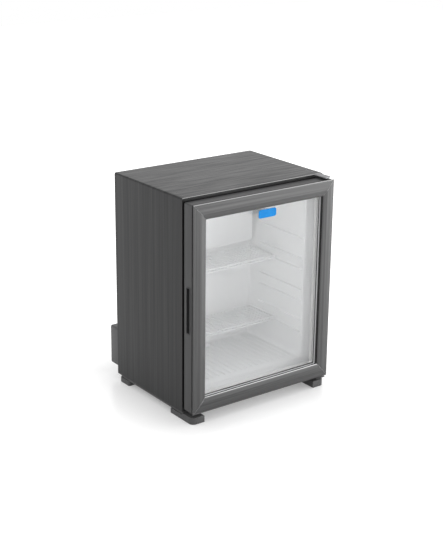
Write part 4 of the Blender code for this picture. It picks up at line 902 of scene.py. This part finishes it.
def makeBezelBar(name, node, length, reach, turn, widths, material):  # widths: own, then each end's
    share, *endShares = [bezelShape[kept] / bezelShape["width"] for kept in widths]
    bm = bmesh.new()
    ends = []
    for side, endShare in zip((-1, 1), endShares):
        row = []
        for inward, depth in bezelSection():
            x = side * (length / 2 - inward * endShare - bezelShape["mitreGap"])
            z = reach - inward * share
            row.append(bm.verts.new((x * cosOf(turn) + z * sinOf(turn), doorFront + depth,
                                     doorMiddle - x * sinOf(turn) + z * cosOf(turn))))
        ends.append(row)
    skinRows(bm, ends)
    bar = addPiece(bm, name, "brushed_bezel", node, body="door", sharp=40, material=material)
    softenEdges(bar, bezelShape["soft"], 2, 60)


def makeDoorFrame():
    look = {"inset": 0.001, "groove": 0.0048, "grooveEnd": 0.0086, "frontRound": 0.0010,
            "rearRound": 0.0015, "lip": 0.030, "lipThick": 0.0027, "ledge": 0.0245,
            "front": 0.0057, "gripWall": 0.0013, "gripCorner": 0.0040, "bushHole": 0.0053,
            "bushReach": 0.0143}
    inset, deep, radius, rear, lip = [look[name] for name in
                                      ("inset", "groove", "frontRound", "rearRound", "lip")]
    inside = doorDepth - look["lipThick"]
    profile = [(deep, look["front"], 0.0015), (deep, look["grooveEnd"], 0.0015)]
    profile += [(inset + radius - a, look["grooveEnd"] + radius - b) for b, a in
                arc(0, 0, radius, 0, 90, 6)]
    profile += [(inset + a, doorDepth - b, 0.0035)
                for a, b in quarterRound(rear, range(0, 91, 15))]
    profile += [(lip - 0.0004, doorDepth), (lip, doorDepth - 0.0004), (lip, inside),
                (look["ledge"], inside), (look["ledge"], look["front"])]
    bm, cutter = bmesh.new(), bmesh.new()
    addDoorRing(bm, profile, 10)
    low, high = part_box("grip_insert")
    wall = look["gripWall"]
    addBlock(cutter, (low.x - 0.01, low.y + wall, low.z + wall),
             (high.x + 0.0003, high.y - wall, high.z - wall), 0.0001, "X", 0.0024)
    for name, end in (("top_door_bush", doorHigh), ("bottom_door_bush", doorLow)):
        bush = middleOf(name)
        addRod(cutter, "Z", (bush.x, bush.y, end), look["bushHole"], look["bushReach"])
    addPiece(bm, "doorFrame", "door_plastic", "door_frame", body="door", cut=cutter)

    face, floor = low.x, high.x
    bm = bmesh.new()
    addBoxLoft(bm, "X", low, high, look["gripCorner"],
               [(floor, 0.0016), (face + 0.0009, 0.0016), (face + 0.0006, 0), (face + 0.0002, 0),
                (face, 0.0003), (face, 0.0022, 0.0020), (face + 0.0006, 0.0028, 0.0014),
                (floor - 0.0030, 0.0028, 0.0014), (floor - 0.0012, 0.0040, 0.0012)])
    addPiece(bm, "gripCup", "door_plastic", "grip_insert", body="door", material=gripBlack)


def makeGlazing():
    look = {"paneEdge": 0.0004, "paneCorner": 0.0025, "spacer": 0.0100, "seam": 0.0012,
            "sealant": 0.0008, "sealantWider": 0.0016, "seal": 0.0122, "bead": 0.0022,
            "lip": 0.00035, "lipDrop": 0.0018}
    edge = look["paneEdge"]
    for name, node in (("outerPane", "outer_glass"), ("innerPane", "inner_glass")):
        low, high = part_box(node)
        bm = bmesh.new()
        addBoxLoft(bm, "Y", low, high, look["paneCorner"],
                   [(low.y, edge), (low.y + edge, 0), (high.y - edge, 0), (high.y, edge)])
        addPiece(bm, name, "clear_glass", node, body="door", sharp=30)

    def ringPiece(name, slotName, profile, *replaced, more=0.0, material=None):
        bm = bmesh.new()
        addDoorRing(bm, profile, wider=bezelShape["width"] - bezelShape["leftWidth"] + more)
        addPiece(bm, name, slotName, *replaced, body="door", sharp=30, material=material)

    low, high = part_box("glass_spacer")
    front, back, start = low.y - doorFront, high.y - doorFront, low.x + doorHalf
    end, line, seam = start + look["spacer"], (front + back) / 2, look["seam"]
    split = front + look["sealant"]
    ringPiece("spacerSealant", "gasket_rubber",
              [(start, front), (start, split), (end + 0.0003, split), (end + 0.0003, front)],
              more=look["sealantWider"])
    ringPiece("glassSpacer", "spacer_metal",
              [(start, split), (start, back), (end - 0.0008, back), (end, back - 0.0008),
               (end, line + seam), (end - 0.0005, line + 0.0007), (end - 0.0005, line - 0.0007),
               (end, line - seam), (end, split + 0.0008), (end - 0.0008, split)], "glass_spacer")

    low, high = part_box("glazing_seal")
    front, back, start = low.y - doorFront, high.y - doorFront, low.x + doorHalf
    end, lipFront = start + look["seal"], bezelShape["drop"] + look["lipDrop"]
    split, lip, foot = front + 0.0008, end - look["lip"], end - look["bead"]
    ringPiece("glazingSeal", "gasket_rubber",
              [(start, front), (start, back), (foot, back), (foot, split), (end, split),
               (end, lipFront), (lip, lipFront), (lip, front)], "glazing_seal")
    ringPiece("glazingBead", "white_lens",
              [(foot + 0.0001, split + 0.0001), (foot + 0.0001, back), (end - 0.0001, back),
               (end + 0.0002, back - 0.0003), (end + 0.0002, split + 0.0004),
               (end - 0.0001, split + 0.0001)], material=beadGrey)


def makeGasket():
    look = {"width": 0.011, "corner": 0.020}
    low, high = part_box("door_gasket")
    depth = high.y - low.y
    outer = [(0.0105, 0.0), (0.0110, 0.0006), (0.0096, 0.0014), (0.0110, 0.0022),
             (0.0096, 0.0030), (0.0110, 0.0038), (0.0110, depth - 0.0003), (0.0106, depth)]
    inner = [(0.0004, depth), (0.0, depth - 0.0003), (0.0, 0.0036), (0.0015, 0.0028),
             (0.0, 0.0020), (0.0012, 0.0010), (0.0005, 0.0)]
    bm = bmesh.new()
    addBoxLoft(bm, "Y", low, high, look["corner"],
               [(low.y + along, look["width"] - outward) for outward, along in outer + inner],
               ring=True)
    addPiece(bm, "doorGasket", "gasket_rubber", "door_gasket", body="door", sharp=30)


def makeBadge():
    look = {"corner": 0.0052, "rim": 0.0011, "sink": 0.00025, "wider": 0.0022}
    low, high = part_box("badge_plate")
    high.x += look["wider"]
    face, rim = low.y, look["rim"]
    bm = bmesh.new()
    addBoxLoft(bm, "Y", low, high, look["corner"],
               [(high.y, 0), (face + 0.0003, 0), (face + 0.0001, 0.0001), (face, 0.0003),
                (face, rim), (face + look["sink"], rim + 0.0003)])
    addPiece(bm, "badgePlate", "badge_blue", "badge_plate", body="door", sharp=30)


across, tall = 2 * doorHalf, doorHigh - doorLow
bezelAcross = finishes["brushed_bezel"]
for name, node, length, reach, turn, widths, material in (
        ("bezelTop", "bezel_top", across, tall / 2, 0, ("width", "leftWidth", "rightWidth"),
         bezelAcross),
        ("bezelRight", "bezel_right", tall, doorHalf, 90, ("rightWidth", "width", "width"),
         bezelUpright),
        ("bezelBottom", "bezel_bottom", across, tall / 2, 180, ("width", "rightWidth", "leftWidth"),
         bezelAcross),
        ("bezelLeft", "bezel_left", tall, doorHalf, 270, ("leftWidth", "width", "width"),
         bezelUpright)):
    makeBezelBar(name, node, length, reach, turn, widths, material)
makeDoorFrame()
makeGlazing()
makeGasket()
makeBadge()
carryOver("top_door_bush", "base_plastic", 0.0003)
carryOver("bottom_door_bush", "base_plastic", 0.0003)
print("door made")


# Hinges and top fixings

def makeHinges():
    look = {"edge": 0.0005, "corner": 0.005, "pinHole": 0.0033, "screwHole": 0.0021,
            "cross": 0.0019}
    low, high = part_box("top_hinge_bracket")
    pin = middleOf("top_hinge_pin")
    bm, cutter = bmesh.new(), bmesh.new()
    addBlock(bm, low, high, look["edge"], "Z", look["corner"], 8)
    addRod(cutter, "Z", (pin.x, pin.y, low.z), look["pinHole"], 0.01)
    for row in caseShape["holeRows"]:
        addRod(cutter, "Z", screwPlaces[(1, row)], look["screwHole"], 0.01)
    addPiece(bm, "topHingePlate", "hinge_steel", "top_hinge_bracket", cut=cutter)
    carryOver("bottom_hinge_bracket", "hinge_steel", 0.0004, finishes["black_pipe"])

    for end in ("top", "bottom"):
        node = f"{end}_hinge_pin"
        low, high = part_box(node)
        pin, length = middleOf(node), high.z - low.z
        turnedPiece(f"{end}HingePin", "hinge_steel", [node], "Z", (pin.x, pin.y, low.z),
                    [(0.0026, 0), (0.0030, 0.0004), (0.0030, length - 0.0004), (0.0026, length)])

    profile = [(0.0012, -0.0122), (0.0018, -0.0112), (0.0018, -0.0012), (0.0035, -0.0010),
               (0.0035, -0.0005), (0.0032, -0.0002), (0.0024, 0.0)]
    for side, node, slotName in ((1, "top_hinge_screw", "hinge_steel"),
                                 (-1, "blanking_plug", "base_plastic")):
        for row, end in zip(caseShape["holeRows"], ("front", "rear")):
            bm, cross = bmesh.new(), None
            addTurned(bm, "Z", screwPlaces[(side, row)], profile, 28)
            if side > 0:
                cross = bmesh.new()
                addCross(cross, screwPlaces[(side, row)], "Z", look["cross"], 0.0007)
            addPiece(bm, node.title().replace("_", "") + end.title(), slotName, f"{node}_{end}",
                     cut=cross)

    for end in ("left", "right"):
        low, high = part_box(f"bottom_hinge_screw_{end}")
        head, length = ((low.x + high.x) / 2, low.y, (low.z + high.z) / 2), high.y - low.y
        bm, cross = bmesh.new(), bmesh.new()
        addTurned(bm, "Y", head, [(0.0026, 0), (0.0034, 0.0003), (0.0035, 0.0008),
                                  (0.0035, 0.0018), (0.0018, 0.0020), (0.0018, length - 0.001),
                                  (0.0010, length)], 28)
        addCross(cross, head, "Y", look["cross"], 0.0010)
        addPiece(bm, f"bottomHingeScrew{end.title()}", "hinge_steel", f"bottom_hinge_screw_{end}",
                 cut=cross)


makeHinges()
print("hinges made")


# Cooling unit on the back

pipe, coil, pipeSides = pipeShape["pipe"], pipeShape["coil"], pipeShape["sides"]
jacketLow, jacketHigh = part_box("boiler_jacket")
unitY = (jacketLow.y + jacketHigh.y) / 2
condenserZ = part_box("vapour_pipe")[1].z - pipe
returnLow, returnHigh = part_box("return_pipe")
coilLow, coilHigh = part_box("absorber_coil")
coilY = coilLow.y + coil
vesselLow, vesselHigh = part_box("absorber_vessel")


def addCollar(bm, middle, axis, radius):  # weld bead round a pipe joint
    addTurned(bm, axis, middle, [(radius + 0.0002, -0.0025), (radius + 0.001, -0.0015),
                                 (radius + 0.0013, 0), (radius + 0.001, 0.0015),
                                 (radius + 0.0002, 0.0025)], 20)


def makePipe(name, node, points, bend, *collars):  # collars: (place, axis)
    bm = bmesh.new()
    addSweep(bm, bentPath(points, bend), pipe, pipeSides)
    for place, axis in collars:
        addCollar(bm, place, axis, pipe)
    addPiece(bm, name, "black_pipe", node)


def makeBoiler():
    look = {"corner": 0.014, "bands": (0.10, 0.33), "bandHalf": 0.006, "bandOut": 0.0002,
            "seamHalf": 0.004, "seamOut": 0.0006, "screws": (0.09, 0.17, 0.26, 0.34),
            "screw": 0.0026}
    out, seam = look["bandOut"], look["seamHalf"]
    bm = bmesh.new()
    addBlock(bm, jacketLow, jacketHigh, 0.002, "Z", look["corner"], 10)
    loop = roundRect(jacketLow.x - out, jacketHigh.x + out, jacketLow.y - out,
                     jacketHigh.y - 0.0001, look["corner"] + out, 10)
    for height in look["bands"]:
        addLoft(bm, "Z", [(height - look["bandHalf"], loop), (height + look["bandHalf"], loop)])
    addPiece(bm, "boilerJacket", "zinc_sheet", "boiler_jacket")
    face = jacketLow.x - look["seamOut"]
    bm = bmesh.new()
    addBlock(bm, (face, unitY - seam, jacketLow.z + 0.004),
             (face + 0.0010, unitY + seam, jacketHigh.z - 0.004), 0.0003)
    addPiece(bm, "jacketSeam", "zinc_sheet")
    screwHeads("jacketSeamScrews", [(face, unitY, z) for z in look["screws"]], "X", -1,
               look["screw"])


def makeCondenser():
    look = {"pitch": 0.013, "finHalf": 0.0005, "finCorner": 0.004, "bendLeft": 0.013,
            "bendRight": 0.016, "gap": 0.0003}
    (low, high), gap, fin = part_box("condenser"), look["gap"], look["finHalf"]
    vapourX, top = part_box("vapour_pipe")[1].x - pipe, jacketHigh.z
    makePipe("vapourPipe", "vapour_pipe",
             [(vapourX, unitY, top + gap), (vapourX, unitY, condenserZ),
              (high.x + gap, unitY, condenserZ)], look["bendRight"],
             ((vapourX, unitY, top + 0.004), "Z"))

    bm = bmesh.new()
    addTurned(bm, "X", (low.x, unitY, condenserZ), [(pipe, 0), (pipe, high.x - low.x)], pipeSides)
    count = int((high.x - low.x) / look["pitch"]) - 1
    halfY, halfZ = (high.y - low.y) / 2, (high.z - low.z) / 2
    for index in range(count + 1):
        x = (low.x + high.x) / 2 + (index - count / 2) * look["pitch"]
        addBlock(bm, (x - fin, unitY - halfY, condenserZ - halfZ),
                 (x + fin, unitY + halfY, condenserZ + halfZ), 0.00015, "X", look["finCorner"], 5)
        addTurned(bm, "X", (x, unitY, condenserZ), [(pipe + 0.0002, -0.0022),
                                                    (pipe + 0.0009, -0.0018),
                                                    (pipe + 0.0009, 0.0)], pipeSides)
    addPiece(bm, "condenserFins", "black_pipe", "condenser")

    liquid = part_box("liquid_pipe")[0]
    makePipe("liquidPipe", "liquid_pipe",
             [(low.x - gap, unitY, condenserZ), (pipeWallX, unitY, condenserZ),
              (pipeWallX, unitY, liquid.z + pipe), (pipeWallX, liquid.y, liquid.z + pipe)],
             look["bendLeft"], ((low.x - 0.004, unitY, condenserZ), "X"))
    height = returnHigh.z - pipe
    makePipe("returnPipe", "return_pipe",
             [(pipeWallX, returnLow.y, height), (pipeWallX, coilY, height),
              (pipeWallX, coilY, coilHigh.z + gap)], look["bendLeft"])


def makeAbsorber():
    look = {"passes": 6, "straight": 0.003, "drop": 0.048, "outlet": 0.046, "outletSide": 0.048,
            "dome": 0.010, "seams": (0.016, 0.018), "seamDepth": 0.0006, "thin": 0.005}
    passes, outX = look["passes"], vesselLow.x + look["outletSide"]
    height = returnHigh.z - pipe - look["drop"]
    pitch = (height - vesselHigh.z - look["outlet"]) / (passes - 1)
    points = [(pipeWallX, coilY, coilHigh.z), (pipeWallX, coilY, height)]
    for index in range(passes):
        end = coilLow.x + coil if index % 2 else coilHigh.x - coil
        points.append((end, coilY, height))
        if index < passes - 1:
            height -= pitch
            points.append((end, coilY, height))
    points[-1] = (outX, coilY, height)
    points.append((outX, coilY, vesselHigh.z + 0.0003))
    bm = bmesh.new()
    addSweep(bm, bentPath(points, (pitch - look["straight"]) / 2, 12), coil, pipeSides)
    addCollar(bm, (pipeWallX, coilY, coilHigh.z - 0.003), "Z", coil)
    addCollar(bm, (outX, coilY, vesselHigh.z + 0.003), "Z", coil)
    addPiece(bm, "absorberCoil", "black_pipe", "absorber_coil")

    middle = (vesselLow + vesselHigh) / 2
    radius, length = (vesselHigh.z - vesselLow.z) / 2, vesselHigh.x - vesselLow.x
    (seamStart, seamEnd), groove = look["seams"], radius - look["seamDepth"]
    half = [(radius * cosOf(turn), look["dome"] * (1 - sinOf(turn)))
            for turn in (75, 60, 45, 30, 15, 0)]
    half += [(radius, seamStart), (groove, seamStart + 0.0005), (groove, seamEnd - 0.0005),
             (radius, seamEnd)]
    turnedPiece("absorberVessel", "black_pipe", ["absorber_vessel"], "X",
                (vesselLow.x, middle.y, middle.z),
                half + [(size, length - along) for size, along in reversed(half)], 40)

    low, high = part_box("solution_pipe")
    thin = look["thin"]
    bm = bmesh.new()
    addTurned(bm, "X", (low.x, middle.y, middle.z), [(thin, 0), (thin, high.x - low.x)], pipeSides)
    for x in (low.x + 0.003, high.x - 0.003):
        addCollar(bm, (x, middle.y, middle.z), "X", thin)
    addPiece(bm, "solutionPipe", "black_pipe", "solution_pipe")


def makeHeater():
    low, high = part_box("heater_element")
    tall = high.z - low.z
    turnedPiece("heaterElement", "hinge_steel", ["heater_element"], "Z",
                ((low.x + high.x) / 2, unitY, low.z),
                [(0.0045, 0), (0.006, 0.0012), (0.006, 0.009), (0.0048, 0.0102),
                 (0.0048, tall - 0.001), (0.0040, tall)], 28)


def makeControlBox():
    look = {"edge": 0.003, "corner": 0.005, "vents": 7, "ventPitch": 0.0045, "ventInset": 0.014,
            "split": 0.012, "splitWidth": 0.0008, "splitDepth": 0.0006, "screwInset": 0.007,
            "screw": 0.0028, "inletCorner": 0.003}
    low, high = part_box("control_box")
    inletLow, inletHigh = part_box("power_inlet")
    bm, cutter = bmesh.new(), bmesh.new()
    addBlock(bm, low, high, look["edge"], "Y", look["corner"], 8)
    for index in range(look["vents"]):
        z = high.z - look["ventInset"] - look["ventPitch"] * index
        addBlock(cutter, (low.x + look["ventInset"], high.y - 0.0025, z - 0.0009),
                 (high.x - look["ventInset"], high.y + 0.004, z + 0.0009), 0.0002, "Y", 0.0008)
    addBlock(cutter, (inletLow.x + 0.0017, inletLow.y, inletLow.z + 0.0017),
             (inletHigh.x - 0.0017, high.y + 0.01, inletHigh.z - 0.0017), 0.0001, "Y", 0.0015)
    splitY = low.y + look["split"]
    for index, atHigh in ((0, False), (0, True), (2, True), (2, False)):
        start = [low.x - 0.01, splitY, low.z - 0.01]
        end = [high.x + 0.01, splitY + look["splitWidth"], high.z + 0.01]
        if atHigh:
            start[index] = high[index] - look["splitDepth"]
        else:
            end[index] = low[index] + look["splitDepth"]
        addBlock(cutter, start, end, 0.0001)
    addPiece(bm, "controlBox", "base_plastic", "control_box", cut=cutter)
    inset = look["screwInset"]
    corners = [(x, high.y, z) for x in (low.x + inset, high.x - inset)
               for z in (low.z + inset, high.z - inset)]
    screwHeads("controlBoxScrews", corners, "Y", 1, look["screw"])

    back, front = inletLow.y, inletHigh.y
    lip = front - 0.002
    bm = bmesh.new()
    addBoxLoft(bm, "Y", inletLow, inletHigh, look["inletCorner"],
               [(back, 0.002, 0.0015), (lip, 0.002, 0.0015), (lip, 0), (front - 0.0005, 0),
                (front, 0.0005), (front, 0.0045, 0.002), (front - 0.0005, 0.005, 0.0015),
                (back + 0.002, 0.005, 0.0015)], 6)
    addPiece(bm, "mainsInlet", "lead_black", "power_inlet")
    inlet = middleOf("power_inlet")
    bm = bmesh.new()
    for offset, height in ((-0.007, -0.002), (0.007, -0.002), (0.0, 0.003)):
        x, z = inlet.x + offset, inlet.z + height
        addBlock(bm, (x - 0.0010, back + 0.001, z - 0.0022),
                 (x + 0.0010, front - 0.003, z + 0.0022), 0.0004, "Y", 0.0007)
    addPiece(bm, "inletPins", "hinge_steel")


def makeLead():
    look = {"radius": 0.0025, "bend": 0.012, "drop": 0.024, "clips": (0.10, 0.22, 0.34)}
    low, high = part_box("heater_lead")
    heater, radius = middleOf("heater_element"), look["radius"]
    top, run, wallY, sideX = high.z - radius, low.z + radius, low.y + radius, high.x - radius
    bm = bmesh.new()
    addSweep(bm, bentPath([(heater.x, heater.y, top - look["drop"]), (heater.x, heater.y, top),
                           (heater.x, wallY, top), (sideX, wallY, top), (sideX, wallY, run),
                           (low.x, wallY, run)], look["bend"]), radius, 14)
    addPiece(bm, "heaterLead", "lead_black", "heater_lead")
    turnedPiece("leadGrommet", "lead_black", [], "X", (low.x, wallY, run),
                [(0.0034, 0.0), (0.0034, 0.002), (0.0031, 0.003), (0.0034, 0.004),
                 (0.0031, 0.005), (0.0033, 0.006), (0.0029, 0.008), (0.0026, 0.010)], 20)
    bm = bmesh.new()
    for height in look["clips"]:
        addBlock(bm, (sideX - 0.0055, wallY - 0.0027, height - 0.004),
                 (sideX + 0.0055, wallY + 0.0030, height + 0.004), 0.0012, "Z", 0.002)
    addPiece(bm, "leadClips", "base_plastic")


makeBoiler()
makeCondenser()
makeAbsorber()
for name in ("boiler_bracket", "absorber_bracket_left", "absorber_bracket_right",
             "condenser_bracket"):
    carryOver(name, "zinc_sheet", 0.0003)
makeHeater()
makeControlBox()
makeLead()
print("cooling unit made")


# Floor, lamps and camera

# nearGlow to midGlow: the floor's glow is weaker close to the object, a painted shade round the
# base on top of its real shadow.
stageLook = {"floorSize": 12.0, "floorColour": grey(0.80), "floorRough": 0.22,
             "nearReach": 0.16, "nearGlow": 0.27, "midGlow": 0.60, "farStart": 0.9,
             "farEnd": 3.2, "footprint": (0.19, 0.19, 0.0), "worldLight": 0.80}


def seenByCamera(tree):  # 1 for camera, glossy and transmission rays
    path = addNode(tree, "LightPath").outputs
    seen = compute(tree, "ADD", path["Is Camera Ray"], path["Is Glossy Ray"])
    return compute(tree, "ADD", seen, path["Is Transmission Ray"], True)


def makeStage():
    bm = bmesh.new()
    half = stageLook["floorSize"] / 2
    bm.faces.new([bm.verts.new(place) for place in ((-half, -half, 0), (half, -half, 0),
                                                    (half, half, 0), (-half, half, 0))])
    floor = pieceFrom(bm, "floor")
    material, tree, shader = newMaterial("floorWhite")
    feedAll(tree, shader, {"Base Color": (*stageLook["floorColour"], 1.0),
                           "Roughness": stageLook["floorRough"]})
    place = vectorMath(tree, "ABSOLUTE", {0: objectPlace(tree)})  # how far from the footprint
    place = vectorMath(tree, "SUBTRACT", {0: place, 1: stageLook["footprint"]})
    place = vectorMath(tree, "MAXIMUM", {0: place, 1: (0, 0, 0)})
    away = vectorMath(tree, "LENGTH", {0: place}, "Value")
    # Weaker glow near the footprint darkens the floor round the object: partly real shadow, partly
    # painted shade.
    near = ranged(tree, away, stageLook["nearGlow"], stageLook["midGlow"], 0.0,
                  stageLook["nearReach"])
    far = ranged(tree, away, 0.0, 1.0 - stageLook["midGlow"], stageLook["farStart"],
                 stageLook["farEnd"])
    strength = times(tree, seenByCamera(tree), compute(tree, "ADD", near, far))
    glow = addNode(tree, "Emission", {"Strength": strength})
    both = addNode(tree, "AddShader", {0: shader.outputs["BSDF"], 1: glow.outputs["Emission"]})
    tree.links.new(both.outputs["Shader"], tree.nodes["Material Output"].inputs["Surface"])
    floor.data.materials.append(material)

    world = bpy.data.worlds.new("whiteRoom")
    scene.world = world
    world.use_nodes = True
    tree = world.node_tree
    feedAll(tree, tree.nodes["Background"], {
        "Color": (1, 1, 1, 1),
        "Strength": ranged(tree, seenByCamera(tree), stageLook["worldLight"], 1.0)})


def addLamp(name, place, target, size, power):
    data = bpy.data.lights.new(name, "AREA")
    data.shape = "RECTANGLE"
    data.size, data.size_y = size
    data.energy = power
    lamp = bpy.data.objects.new(name, data)
    lamp.location = place
    lamp.rotation_euler = (Vector(target) - Vector(place)).to_track_quat("-Z", "Y").to_euler()
    scene.collection.objects.link(lamp)


makeStage()
lamps = {"backRight": ((2.0, 2.7, 1.6), (0, 0, 0.5), (2.2, 1.6), 2.9),
         "ceiling": ((0.2, -0.2, 2.9), (0, 0, 0.3), (3.0, 3.0), 2.5),
         "rightWall": ((3.2, -0.6, 1.3), (0, -0.1, 0.3), (2.4, 2.0), 16),
         "rightLow": ((2.4, -1.2, 0.45), (0, -0.2, 0.3), (1.4, 0.7), 24),
         "frontRight": ((1.8, -2.7, 0.8), (0, -0.2, 0.3), (1.4, 1.0), 19),
         "leftFront": ((-2.0, -2.4, 1.8), (0, 0, 0.3), (1.6, 1.6), 10.5)}
for name, (place, target, size, power) in lamps.items():
    addLamp(name, place, target, size, power)

cameraLook = {"place": (-1.6547, -2.2532, 1.2358), "azimuth": -36.733, "elevation": 18.964,
              "roll": 0.632, "lens": 80.91}


def makeCamera():
    azimuth, elevation, roll = [cameraLook[name] for name in ("azimuth", "elevation", "roll")]
    back = Vector((sinOf(azimuth) * cosOf(elevation), -cosOf(azimuth) * cosOf(elevation),
                   sinOf(elevation)))
    level = (-back).cross(Vector((0, 0, 1))).normalized()
    up = level.cross(-back)
    right = level * cosOf(roll) + up * sinOf(roll)
    above = up * cosOf(roll) - level * sinOf(roll)
    data = bpy.data.cameras.new("camera")
    data.lens = cameraLook["lens"]
    data.sensor_width = 36
    camera = bpy.data.objects.new("camera", data)
    scene.collection.objects.link(camera)
    for column, axis in enumerate((right, above, back, Vector(cameraLook["place"]))):
        for row in range(3):
            camera.matrix_world[row][column] = axis[row]
    scene.camera = camera


makeCamera()
scene.view_settings.view_transform = "Standard"
print("stage, lamps and camera set")
